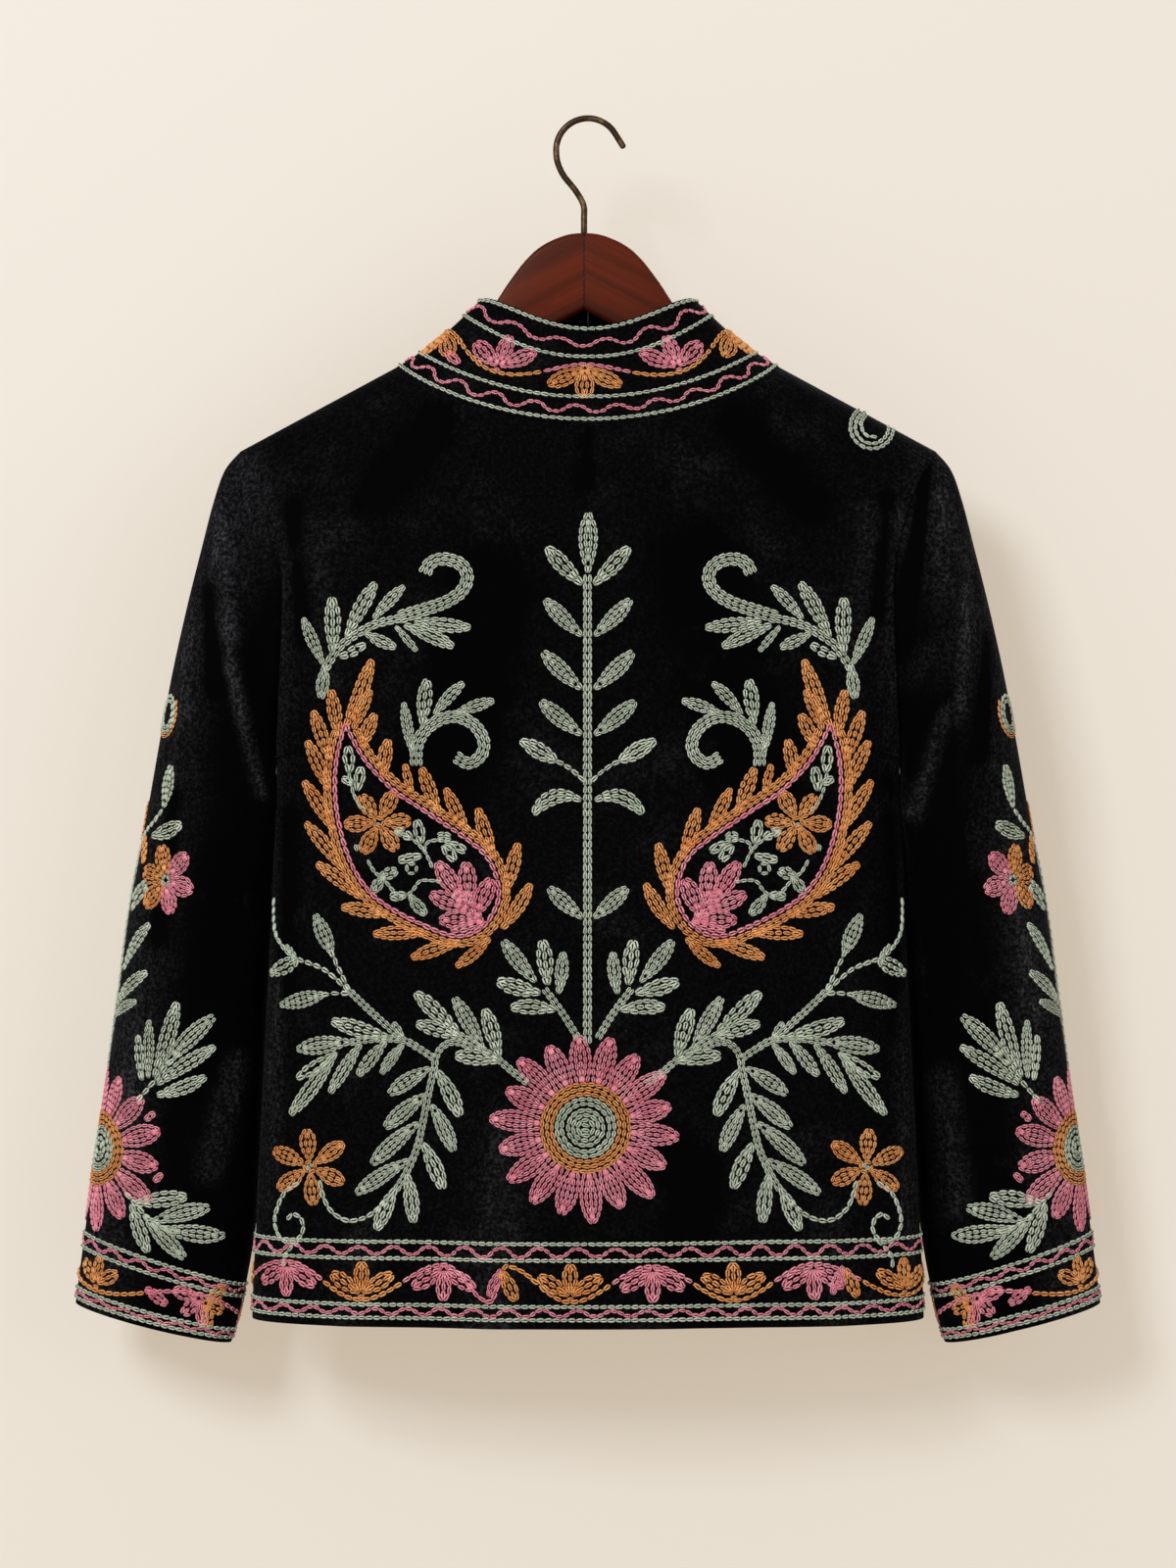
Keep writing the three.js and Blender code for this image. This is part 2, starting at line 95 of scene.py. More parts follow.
class SizeTable:
    """Rows of sizes under named columns, read along a smooth curve through the rows."""

    def __init__(self, columns: str, *rows: tuple[float, ...]) -> None:
        """Keeps each named column as an array.

        Args:
            columns: The names of the columns, with spaces between them.
            rows: One tuple of sizes for each row.
        """
        self.columns = {name: np.array(sizes, float) for name, sizes in zip(columns.split(), zip(*rows))}
        self.last = len(rows) - 1

    def read(self, place: Array, *names: str) -> list[Array]:
        """Reads columns at places counted in rows.

        Args:
            place: Where to read, 0 at the first row.
            names: The columns to read.

        Returns:
            One array for each name.
        """
        place = np.clip(place, 0, self.last)
        row = np.minimum(place.astype(int), self.last - 1)
        t = place - row
        near = [np.clip(row + step, 0, self.last) for step in (-1, 0, 1, 2)]
        read = []
        for name in names:
            a, b, c, d = (self.columns[name][rows] for rows in near)
            bend = 2 * a - 5 * b + 4 * c - d + t * (3 * b - a - 3 * c + d)
            read.append(b + 0.5 * t * (c - a + t * bend))
        return read

    def at(self, key: str, value: Array, *names: str) -> list[Array]:
        """Reads columns where another column has given values.

        Args:
            key: A column that only rises or only falls.
            value: The values of that column.
            names: The columns to read.

        Returns:
            One array for each name.
        """
        keys = self.columns[key]
        way = 1 if keys[-1] > keys[0] else -1
        place = np.interp(way * np.asarray(value, float), way * keys, np.arange(self.last + 1))
        return self.read(place, *names)


@dataclass(frozen=True)
class Crease:
    """A soft ridge in the cloth, or a trough where its height is below 0, along a straight line."""

    from_x: float
    from_z: float
    to_x: float
    to_z: float
    spread: float
    height: float


def crease_table(*rows: tuple[float, ...]) -> tuple[Crease, ...]:
    """Creases from rows of from x, from z, to x, to z, spread and height."""
    return tuple(Crease(*row) for row in rows)


def relief(creases: Iterable[Crease], x: Array, z: Array) -> Array:
    """How far creases lift the cloth at each place on it."""
    lift = np.zeros_like(x)
    for crease in creases:
        run_x, run_z = crease.to_x - crease.from_x, crease.to_z - crease.from_z
        off_x, off_z = x - crease.from_x, z - crease.from_z
        share = np.clip((off_x * run_x + off_z * run_z) / (run_x**2 + run_z**2), 0, 1)
        distance = np.hypot(off_x - share * run_x, off_z - share * run_z)
        lift = lift + crease.height * np.exp(-((distance / crease.spread) ** 2))
    return lift


def ripple(x: Array, z: Array, height: float, phase: float) -> Array:
    """The slow unevenness of hanging cloth, as a few long waves that never quite repeat."""
    waves = np.sin(x / 23 + z / 71 + phase) + np.sin(x / 37 - z / 53 + 2 * phase)
    return height * (waves + 0.8 * np.sin(z / 29 + x / 61 + 3 * phase)) / 2.8


def smoothstep(value: Array, low: float, high: float) -> Array:
    """Rises smoothly from 0 at low to 1 at high."""
    t = np.clip((value - low) / (high - low), 0, 1)
    return t * t * (3 - 2 * t)


def lengths_along(points: Array) -> Array:
    """The distance along a line of points, from its first point to each."""
    steps = np.linalg.norm(np.diff(points, axis=0), axis=1)
    return np.concatenate([[0.0], np.cumsum(steps)])


def respaced(points: Array, step: float) -> Array:
    """The same line with points about one step apart."""
    run = lengths_along(points)
    count = max(2, int(math.ceil(run[-1] / step)) + 1)
    at = np.linspace(0, run[-1], count)
    return np.stack([np.interp(at, run, points[:, k]) for k in range(points.shape[1])], axis=1)


def smooth_line(points: Sequence[tuple[float, ...]], step: float = 1.0) -> Array:
    """A smooth line through a few points, with points about one step apart."""
    names = "abc"[: len(points[0])]
    table = SizeTable(" ".join(names), *points)
    place = np.linspace(0, table.last, 24 * table.last + 1)
    return respaced(np.stack(table.read(place, *names), axis=1), step)


def sideways(line: Array) -> Array:
    """Unit vectors to the left of a flat line at each of its points."""
    ahead = np.gradient(line, axis=0)
    ahead /= np.maximum(np.linalg.norm(ahead, axis=1, keepdims=True), 1e-9)
    return np.stack([-ahead[:, 1], ahead[:, 0]], axis=1)


def unit(vectors: Array) -> Array:
    """The same vectors with a length of 1."""
    return vectors / np.maximum(np.linalg.norm(vectors, axis=-1, keepdims=True), 1e-12)


def normals_of(
    surface: Callable[[Array, Array], Array],
    a: Array,
    b: Array,
    limits: tuple[tuple[float, float], tuple[float, float]],
    middle: Callable[[Array], Array],
) -> Array:
    """Unit normals of a surface, on the side away from its middle.

    Args:
        surface: Gives the points at two arrays of parameters.
        a: The first parameter of each point.
        b: The second parameter of each point.
        limits: The lowest and highest value of each parameter.
        middle: Gives, for points of the surface, the place inside that they turn away from.

    Returns:
        One normal for each point.
    """
    step = 2e-3
    (low_a, high_a), (low_b, high_b) = limits
    along_a = surface(np.clip(a + step, low_a, high_a), b) - surface(np.clip(a - step, low_a, high_a), b)
    along_b = surface(a, np.clip(b + step, low_b, high_b)) - surface(a, np.clip(b - step, low_b, high_b))
    normal = unit(np.cross(along_a, along_b))
    point = surface(a, b)
    outward = np.sum(normal * (point - middle(point)), axis=-1, keepdims=True)
    return np.where(outward < 0, -normal, normal)


# --- meshes ---


def signed_volume(points: Array, quads: Array) -> float:
    """Six times the volume inside a closed body of quads, above 0 if its faces point out."""
    a, b, c, d = (points[quads[:, k]] for k in range(4))
    return float(np.sum(a * np.cross(b, c)) + np.sum(a * np.cross(c, d)))


def store_painted_light(piece: bpy.types.Object, painted_light: Array) -> None:
    """Keeps, at each point of a piece, how much painted light its colour takes: painted sheen on the velvet,
    painted shade on the yarn's sides and underside.
    """
    layer = piece.data.attributes.new("painted_light", "FLOAT", "POINT")
    layer.data.foreach_set("value", painted_light.astype(np.float32))


def make_piece(
    name: str,
    points: Array,
    quads: Array,
    finish: bpy.types.Material,
    slot: str,
    caps: Sequence[Sequence[int]] = (),
    uv: Array | None = None,
) -> bpy.types.Object:
    """Makes one smooth piece and lets it ride on the body.

    Args:
        name: The piece's name.
        points: Its points in millimetres.
        quads: Four point numbers for each face.
        finish: Its material.
        slot: Not used.
        caps: Faces with more than four corners.
        uv: A pair of numbers for each corner of each quad.

    Returns:
        The new object.
    """
    corners = np.concatenate([quads.ravel(), *[np.array(cap) for cap in caps]]).astype(np.int32)
    counts = np.array([4] * len(quads) + [len(cap) for cap in caps])
    mesh = bpy.data.meshes.new(name)
    mesh.vertices.add(len(points))
    mesh.vertices.foreach_set("co", (points * MM).astype(np.float32).ravel())
    mesh.loops.add(len(corners))
    mesh.loops.foreach_set("vertex_index", corners)
    mesh.polygons.add(len(counts))
    mesh.polygons.foreach_set("loop_start", (np.cumsum(counts) - counts).astype(np.int32))
    mesh.update(calc_edges=True)
    mesh.validate()
    if uv is not None:
        layer = mesh.uv_layers.new(name="Yarn")
        layer.data.foreach_set("uv", uv.astype(np.float32).ravel())
    mesh.shade_smooth()
    if uv is None:
        mesh.set_sharp_from_angle(angle=math.radians(50))
    mesh.materials.append(finish)
    piece = bpy.data.objects.new(name, mesh)
    bpy.context.scene.collection.objects.link(piece)
    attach(piece, BODY)
    log.info("%s: %d faces", name, len(counts))
    return piece


def rod(rings: Array) -> tuple[Array, Array, list[list[int]]]:
    """Joins rings of points into a closed rod: its points, its side faces and its two end faces."""
    number = np.arange(rings.shape[0] * rings.shape[1]).reshape(rings.shape[:2])
    ahead = np.roll(number, -1, axis=1)
    quads = np.stack([number[:-1], ahead[:-1], ahead[1:], number[1:]], axis=-1).reshape(-1, 4)
    caps = [number[0][::-1].tolist(), number[-1].tolist()]
    points = rings.reshape(-1, 3)
    if signed_volume(points, quads) < 0:
        quads, caps = quads[:, ::-1], [cap[::-1] for cap in caps]
    return points, quads, caps


def wall_between(outer: Array, inner: Array, closes_round: bool) -> tuple[Array, Array]:
    """A closed wall between two grids of points, with its faces pointing out.

    Args:
        outer: Points by column and row.
        inner: The points behind them.
        closes_round: Whether the last column joins the first.

    Returns:
        The points as a list and four point numbers for each face.
    """
    columns, rows = outer.shape[:2]
    points = np.concatenate([outer.reshape(-1, 3), inner.reshape(-1, 3)])
    number = np.arange(columns * rows).reshape(columns, rows)
    if closes_round:
        number = np.concatenate([number, number[:1]])
    behind = number + columns * rows

    def strip(a: Array, b: Array, c: Array, d: Array) -> Array:
        """Faces between four equal runs of point numbers."""
        return np.stack([a, b, c, d], axis=-1).reshape(-1, 4)

    faces = [
        strip(number[:-1, :-1], number[1:, :-1], number[1:, 1:], number[:-1, 1:]),
        strip(behind[:-1, :-1], behind[:-1, 1:], behind[1:, 1:], behind[1:, :-1]),
        strip(number[:-1, 0], behind[:-1, 0], behind[1:, 0], number[1:, 0]),
        strip(number[:-1, -1], number[1:, -1], behind[1:, -1], behind[:-1, -1]),
    ]
    if not closes_round:
        faces.append(strip(number[0, :-1], number[0, 1:], behind[0, 1:], behind[0, :-1]))
        faces.append(strip(number[-1, :-1], behind[-1, :-1], behind[-1, 1:], number[-1, 1:]))
    quads = np.concatenate(faces)
    return points, quads if signed_volume(points, quads) > 0 else quads[:, ::-1]


# --- body of cloth ---

BODY_EDGE = SizeTable(
    "z x",
    (-210.6, 221.6), (-228, 210.5), (-246, 202.4), (-278, 193.8), (-310, 191.9), (-379, 195.4),
    (-405, 198), (-497, 201.3), (-598, 206.3), (-704, 211.3), (-761.5, 213.8),
)
BODY_DEPTH = SizeTable(
    "z back front",
    (-198, 58, 58), (-300, 57, 56), (-405, 55, 57), (-600, 58, 59), (-761.5, 62, 61),
)
SLEEVE_SECTIONS = SizeTable(
    "out_x out_z in_x in_z half_depth forward bow",
    (221.6, -210.6, 198, -405, 40, 0, 1),
    (231.5, -222.5, 198.7, -407.5, 42, 0.5, 0.85),
    (238.5, -242, 199.4, -413, 44, 1.5, 0.65),
    (246.5, -272, 199.9, -423, 46, 3.5, 0.4),
    (256, -309, 200.4, -437, 48, 6, 0.2),
    (265.5, -350, 200.7, -456, 49, 9.5, 0),
    (274, -393, 201.2, -482, 49, 13.5, 0),
    (284.5, -450, 203, -528, 47, 18, 0),
    (294.5, -505, 205.2, -573, 44.5, 20, 0),
    (302, -561, 207.6, -621, 42, 20, 0),
    (309, -612, 209.8, -662, 39, 20, 0),
    (316.5, -660, 213, -702, 36, 20, 0),
    (323, -708, 219.5, -742, 33, 19, 0),
    (329, -755, 229, -780.5, 31, 18, 0),
)


@dataclass(frozen=True)
class BodyShape:
    """The surface of the back and the fronts, from the shoulders to the hem."""

    neck_side_z: float = -157
    neck_back_z: float = -198
    neck_front_z: float = -192
    neck_curve: float = 1.6
    side_rounding: float = 0.75
    closes_from: float = -300
    closes_to: float = -520
    pinch: float = 5
    settling: float = 2
    folds: tuple[Crease, ...] = crease_table(
        (181, -285, 178, -375, 11, 3), (176, -430, 186, -690, 20, 3), (96, -560, 104, -750, 26, -3),
    )
    back_creases: tuple[Crease, ...] = crease_table(
        (1, -200, -2, -236, 5, -1.1), (-186, -250, -178, -330, 6, -1.6), (-172, -262, -160, -360, 9, 1.2),
        (-196, -545, -199, -690, 5, 1.5), (-190, -440, -191, -560, 6, -1.3),
        (-140, -700, -152, -760, 9, 1.5), (-52, -640, -58, -760, 16, 1.6), (62, -660, 70, -760, 15, -1.4),
        (176, -252, 165, -345, 8, 1.3), (188, -244, 181, -318, 5, -1.7), (191, -420, 196, -580, 6, -1.4),
        (198, -560, 203, -740, 5, 1.4), (150, -690, 157, -760, 10, 1.3), (-92, -196, -130, -240, 13, -1.0),
        (94, -198, 140, -246, 12, -1.1), (-60, -300, -96, -420, 24, -1.2), (70, -290, 104, -430, 26, -1.1),
    )
    front_creases: tuple[Crease, ...] = crease_table(
        (184, -252, 170, -344, 8, 1.4), (-186, -248, -172, -336, 7, 1.3), (-120, -205, -80, -330, 15, -1.8),
        (118, -208, 84, -318, 14, -1.6), (-188, -430, -194, -600, 6, -1.4), (190, -420, 196, -570, 6, -1.3),
        (-46, -560, -40, -760, 15, 1.5), (60, -590, 50, -760, 17, 1.6), (150, -640, 158, -760, 13, 1.4),
        (-132, -620, -140, -760, 15, -1.6),
    )

    def neck_z(self, angle: Array) -> Array:
        """The neck seam's height, at an angle of 0 at the back's middle and 90 degrees at a shoulder."""
        low = np.where(np.cos(angle) > 0, self.neck_back_z, self.neck_front_z)
        return self.neck_side_z + (low - self.neck_side_z) * np.abs(np.cos(angle)) ** self.neck_curve

    def ridge_z(self, x: Array) -> Array:
        """The height of the shoulders' ridge, as if there were no neck hole."""
        share = (np.abs(x) - NECK_HALF_WIDTH) / (SHOULDER_X - NECK_HALF_WIDTH)
        return self.neck_side_z + (SHOULDER_Z - self.neck_side_z) * share

    def top_z(self, side: float, top_x: Array) -> Array:
        """The height of a panel's top edge."""
        angle = np.arcsin(np.minimum(np.abs(top_x) / NECK_HALF_WIDTH, 1))
        neck = self.neck_z(np.pi - angle if side > 0 else angle)
        return np.where(np.abs(top_x) < NECK_HALF_WIDTH, neck, self.ridge_z(top_x))

    def settled(self, edge_z: Array) -> Array:
        """How much of the shoulders' slope a row keeps."""
        return (1 - (SHOULDER_Z - edge_z) / (SHOULDER_Z - HEM_Z)) ** self.settling

    def edge_height(self, row: Array) -> Array:
        """The height at the side of a row: 0 is the shoulder, 1 under the arm and 2 the hem."""
        upper, lower = np.minimum(row, 1), np.maximum(row - 1, 0)
        armhole = SHOULDER_Z - ARMHOLE_DROP * (1 - np.cos(np.pi * upper)) / 2
        return armhole + lower * (HEM_Z - (SHOULDER_Z - ARMHOLE_DROP))

    def at_height(self, side: float, turn: Array, edge_z: Array) -> Array:
        """Points of the back or the fronts.

        Args:
            side: -1 for the back and 1 for the fronts.
            turn: The turn round the body, 0 in the middle and a quarter at each side.
            edge_z: The height of the point's row at the side of the body.

        Returns:
            One point for each turn and height.
        """
        sine, cosine = np.sin(turn), np.maximum(np.cos(turn), 0)
        top_x = SHOULDER_X * sine
        x = BODY_EDGE.at("z", edge_z, "x")[0] * sine
        z = edge_z + (self.top_z(side, top_x) - SHOULDER_Z) * self.settled(edge_z)
        fall = np.clip((SHOULDER_Z - edge_z) / ARMHOLE_DROP, 0, 1)
        seam_depth = ARMHOLE_HALF_DEPTH * np.sqrt(np.maximum(1 - np.maximum(2 * fall - 1, 0) ** 2, 0))
        full_depth = ARMHOLE_HALF_DEPTH * smoothstep(edge_z, self.closes_to, self.closes_from)
        middle = BODY_DEPTH.at("z", z, "back" if side < 0 else "front")[0]
        pinched = (full_depth - seam_depth) * (1 - cosine) ** self.pinch
        depth = full_depth + (middle - full_depth) * cosine**self.side_rounding - pinched
        row = np.arccos(np.clip(1 - 2 * fall, -1, 1)) / np.pi
        fine = relief(self.back_creases if side < 0 else self.front_creases, x, z)
        loose = relief(self.folds, np.abs(x), z) + fine + ripple(x, z, 0.9, 1.0 + side)
        folded = loose * cosine**0.5 * smoothstep(row, 0, 0.4)
        drop = np.clip((self.ridge_z(top_x) - z) / (ARMHOLE_DROP / 2), 0, 1)
        opened = np.sqrt(np.maximum(1 - (1 - drop) ** 2, 0))
        return np.stack([x, side * (depth * opened + folded), z], axis=-1)

    def at_row(self, side: float, turn: Array, row: Array) -> Array:
        """Points of the back or the fronts, by row."""
        return self.at_height(side, turn, self.edge_height(row))

    def inside(self, point: Array) -> Array:
        """The places inside the body that points of its surface turn away from."""
        return point * [0.9, 0, 1] - [0, 0, 60]

    def normals(self, side: float, turn: Array, edge_z: Array) -> Array:
        """Unit normals of the back or the fronts, pointing out."""
        limits = ((-np.pi / 2, np.pi / 2), (HEM_Z, SHOULDER_Z))
        return normals_of(partial(self.at_height, side), turn, edge_z, limits, self.inside)

    def locate(self, side: float, x: Array, z: Array) -> tuple[Array, Array, Array]:
        """Finds the places of the surface over given points of the plane of the shoulders.

        Args:
            side: -1 for the back and 1 for the fronts.
            x: Across.
            z: Up.

        Returns:
            The turn and the edge height of each, and whether the cloth reaches that far.
        """
        edge_z = np.clip(z, HEM_Z, SHOULDER_Z)
        for _ in range(10):
            sine = x / BODY_EDGE.at("z", edge_z, "x")[0]
            inside = np.clip(sine, -1, 1)
            slope = (self.top_z(side, SHOULDER_X * inside) - SHOULDER_Z) * self.settled(edge_z)
            edge_z = np.clip(z - slope, HEM_Z, SHOULDER_Z)
        found = np.abs(sine) < NEAR_SIDE
        on_cloth = (z - slope < SHOULDER_Z) & (z - slope > HEM_Z)
        return np.arcsin(np.clip(sine, -NEAR_SIDE, NEAR_SIDE)), edge_z, found & on_cloth


@dataclass(frozen=True)
class SleeveShape:
    """The surface of a sleeve, from the armhole to the cuff, on the wearer's right."""

    hand: int
    tuck: float = 13  # how far the cloth goes in below the armhole, so that no gap shows beside the body
    tuck_z: float = -437
    tuck_spread: float = 30
    folds: tuple[Crease, ...] = crease_table(
        (238, -250, 211, -375, 12, 5), (222, -262, 205, -345, 8, -5), (232, -372, 214, -445, 10, -4),
        (243, -455, 262, -545, 13, 3),
    )
    left_creases: tuple[Crease, ...] = crease_table(
        (236, -248, 222, -330, 4.5, 1.6), (229, -318, 216, -384, 4, 1.9), (255, -326, 257, -384, 5, 1.5),
        (224, -350, 206, -428, 4, 1.8), (240, -300, 234, -362, 6, -1.7), (226, -470, 238, -560, 7, -1.5),
        (262, -430, 274, -520, 8, -1.3), (222, -600, 240, -668, 8, 1.5), (290, -560, 296, -640, 9, 1.1),
        (246, -700, 252, -765, 9, -1.3),
    )
    right_creases: tuple[Crease, ...] = crease_table(
        (243, -262, 233, -380, 4.5, 1.9), (224, -238, 222, -262, 3.5, 1.5),
        (239, -250, 244, -296, 3.5, -1.4), (224, -378, 206, -440, 4.5, 1.9),
        (214, -222, 202, -300, 5, -2.2), (252, -330, 248, -402, 6, -1.5), (230, -455, 226, -548, 7, -1.6),
        (268, -470, 281, -566, 9, 1.4), (225, -610, 236, -690, 8, 1.4), (262, -690, 270, -765, 10, -1.3),
    )

    def fine_relief(self, angle: Array, x: Array, z: Array) -> Array:
        """The fine creases: each sleeve's own ones behind, and the other's before."""
        own, other = (self.left_creases, self.right_creases)[:: -self.hand]
        return np.where(np.sin(angle) > 0, relief(own, x, z), relief(other, x, z))

    def seam(self, angle: Array) -> tuple[Array, Array, Array]:
        """The armhole seam, at an angle of 0 at the shoulder and 180 degrees under the arm."""
        z = SHOULDER_Z - ARMHOLE_DROP * (1 - np.cos(angle)) / 2
        return BODY_EDGE.at("z", z, "x")[0], -ARMHOLE_HALF_DEPTH * np.sin(angle), z

    def at(self, along: Array, angle: Array) -> Array:
        """Points of the sleeve.

        Args:
            along: 0 at the armhole and 1 at the cuff.
            angle: 0 on the outer line, a quarter turn behind and a half turn on the inner line.

        Returns:
            One point for each.
        """
        names = "out_x out_z in_x in_z half_depth forward bow".split()
        sizes = SLEEVE_SECTIONS.read(along * SLEEVE_SECTIONS.last, *names)
        out_x, out_z, in_x, in_z, half_depth, forward, bow = sizes
        share = (1 - np.cos(angle)) / 2
        under_x = self.seam(np.array(np.pi))[0]
        x = out_x + (in_x - out_x) * share
        x = x - bow * (SHOULDER_X + (under_x - SHOULDER_X) * share - self.seam(angle)[0])
        z = out_z + (in_z - out_z) * share
        fine = self.fine_relief(angle, x, z)
        loose = relief(self.folds, x, z) + fine + ripple(x, z, 0.8, 2.0 + self.hand)
        free = smoothstep(along, 0, 0.12)
        below = np.exp(-(((z - self.tuck_z) / self.tuck_spread) ** 2))
        tuck = self.tuck * below * np.maximum(np.sin(angle), 0)
        x = x - tuck * share * free
        return np.stack([x, forward - (half_depth + loose * free) * np.sin(angle), z], axis=-1)

    def placed(self, along: Array, angle: Array) -> tuple[Array, Array]:
        """Points and unit normals on the sleeve's own side of the body."""
        mirror = np.array([self.hand, 1, 1])
        return self.at(along, angle) * mirror, self.normals(along, angle) * mirror

    def middle(self, along: Array) -> Array:
        """The middle of the section at each place along the sleeve."""
        names = "out_x out_z in_x in_z forward".split()
        out_x, out_z, in_x, in_z, forward = SLEEVE_SECTIONS.read(along * SLEEVE_SECTIONS.last, *names)
        return np.stack([(out_x + in_x) / 2, forward, (out_z + in_z) / 2], axis=-1)

    def normals(self, along: Array, angle: Array) -> Array:
        """Unit normals of the sleeve, pointing out."""
        limits = ((0.0, 1.0), (-4 * np.pi, 4 * np.pi))
        return normals_of(self.at, along, angle, limits, lambda point: self.middle(along))


@dataclass(frozen=True)
class CollarShape:
    """The surface of the standing collar, which leans in like a cone."""

    body: BodyShape
    half_width: float = 68
    back_depth: float = 34
    front_depth: float = 38
    side_z: float = -113.5
    back_z: float = -134.7
    front_z: float = -112.5
    bow: float = 3.3
    curve: float = 3.1
    slant: float = 68  # from the neck seam up to the rim

    def seam(self, angle: Array) -> Array:
        """Points of the neck seam."""
        turn = np.arcsin(np.clip(NECK_HALF_WIDTH * np.sin(angle) / SHOULDER_X, -1, 1))
        zero = np.zeros_like(turn)
        back = self.body.at_row(-1, turn, zero)
        front = self.body.at_row(1, turn, zero)
        return np.where((np.cos(angle) > 0)[..., None], back, front)

    def at(self, angle: Array, height: Array) -> Array:
        """Points of the collar, from its seam at height 0 to its rim at height 1."""
        sine, cosine = np.sin(angle), np.cos(angle)
        rim_z = np.where(cosine > 0, self.back_z, self.front_z) - self.side_z
        depth = np.where(cosine > 0, self.back_depth, self.front_depth)
        rim = [self.half_width * sine, -depth * cosine, self.side_z + rim_z * np.abs(cosine) ** self.curve]
        seam = self.seam(angle)
        point = seam + (np.stack(rim, axis=-1) - seam) * height[..., None]
        point[..., 2] -= self.bow * np.sin(np.pi * height) * np.abs(sine)
        return point

    def normals(self, angle: Array, height: Array) -> Array:
        """Unit normals of the collar, pointing out."""
        limits = ((-np.pi, np.pi), (0.0, 1.0))
        return normals_of(self.at, angle, height, limits, lambda point: point * [0, 0, 1] - [0, 0, 30])


# --- places on cloth ---


class Chart(Protocol):
    """A way to lay a flat drawing, in millimetres, on a piece of cloth."""

    def place(self, drawn: Array) -> tuple[Array, Array, Array]:
        """Gives the point and the normal for each drawn point, and whether it lies on the cloth."""


@dataclass(frozen=True)
class BodyChart:
    """Lays a drawing on the back or the fronts as the eye sees it, on the plane of the shoulders."""

    shape: BodyShape
    side: int

    def place(self, drawn: Array) -> tuple[Array, Array, Array]:
        """Places the drawn points."""
        depth = np.full(len(drawn), 55.0)
        for _ in range(3):
            nearer = 1 - depth / EYE
            x = drawn[:, 0] * nearer
            z = EYE_Z + (drawn[:, 1] - EYE_Z) * nearer
            turn, edge_z, on_cloth = self.shape.locate(self.side, x, z)
            points = self.shape.at_height(self.side, turn, edge_z)
            depth = np.abs(points[:, 1])
        return points, self.shape.normals(self.side, turn, edge_z), on_cloth


class HemChart:
    """Lays a band round the hem, by the distance from the back's middle and the height over the edge."""

    def __init__(self, shape: BodyShape) -> None:
        """Measures the way round the hem, from the back's middle over the right side to the front."""
        self.shape = shape
        quarter = np.linspace(0, np.pi / 2, 181)
        level = np.full_like(quarter, HEM_Z + 28)
        back = shape.at_height(-1, quarter, level)
        front = shape.at_height(1, quarter[::-1], level)
        self.round = lengths_along(np.concatenate([back, front]))
        self.turns = np.concatenate([quarter, np.pi - quarter[::-1]])
        self.across = back[:, 0]
        self.half = float(self.round[-1])

    def from_seen(self, seen_x: float) -> float:
        """The distance round the hem of a place on the back that the eye sees at a distance across."""
        real = abs(seen_x) * (1 - 60 / EYE)
        return math.copysign(float(np.interp(real, self.across, self.round[: len(self.across)])), seen_x)

    def place(self, drawn: Array) -> tuple[Array, Array, Array]:
        """Places the drawn points."""
        whole = np.interp(np.abs(drawn[:, 0]), self.round, self.turns)
        in_front = whole > np.pi / 2
        turn = np.sign(drawn[:, 0]) * np.where(in_front, np.pi - whole, whole)
        edge_z = HEM_Z + drawn[:, 1]
        points, normals = np.zeros((len(turn), 3)), np.zeros((len(turn), 3))
        for side, chosen in ((-1, ~in_front), (1, in_front)):
            points[chosen] = self.shape.at_height(side, turn[chosen], edge_z[chosen])
            normals[chosen] = self.shape.normals(side, turn[chosen], edge_z[chosen])
        return points, normals, np.abs(drawn[:, 0]) < self.half - 2


class SleeveChart:
    """Lays a drawing on a sleeve, by the distance behind the outer line and the way up from the cuff.

    The drawing's first number grows towards the back. Its second is the height over the outer end of the
    cuff, measured along the sleeve.
    """

    AXIS = unit(np.array([0.154, 0.0, -0.988]))
    STEP = 2.0

    def __init__(self, shape: SleeveShape) -> None:
        """Measures the sleeve in level rings square to its length."""
        self.shape = shape
        angles = np.radians(np.linspace(-180, 180, 181))
        alongs = np.linspace(0, 1, 131)
        along_grid, angle_grid = np.meshgrid(alongs, angles, indexing="ij")
        reach = shape.at(along_grid, angle_grid) @ self.AXIS
        self.end = float(reach[-1, 90])
        self.start = float(reach[0, 90])
        self.rings = np.arange(self.start, self.end + 14, self.STEP * 2)
        self.across = np.arange(-150, 150 + self.STEP, self.STEP)
        self.angle = np.zeros((len(self.rings), len(self.across)))
        self.along = np.zeros_like(self.angle)
        for k, level in enumerate(self.rings):
            ring = np.array([np.interp(level, reach[:, j], alongs) for j in range(len(angles))])
            run = lengths_along(shape.at(ring, angles))
            run -= run[90]
            self.angle[k] = np.interp(self.across, run, angles)
            self.along[k] = np.interp(self.angle[k], angles, ring)

    def blend(self, grid: Array, row: Array, column: Array) -> Array:
        """Reads a grid between its points."""
        i = np.clip(row.astype(int), 0, grid.shape[0] - 2)
        j = np.clip(column.astype(int), 0, grid.shape[1] - 2)
        a, b = np.clip(row - i, 0, 1), np.clip(column - j, 0, 1)
        low = grid[i, j] * (1 - b) + grid[i, j + 1] * b
        high = grid[i + 1, j] * (1 - b) + grid[i + 1, j + 1] * b
        return low * (1 - a) + high * a

    def place(self, drawn: Array) -> tuple[Array, Array, Array]:
        """Places the drawn points."""
        row = (self.end - drawn[:, 1] - self.start) / (2 * self.STEP)
        column = (drawn[:, 0] - self.across[0]) / self.STEP
        along = self.blend(self.along, row, column)
        angle = self.blend(self.angle, row, column)
        return *self.shape.placed(along, angle), np.abs(angle) < np.pi - 0.03


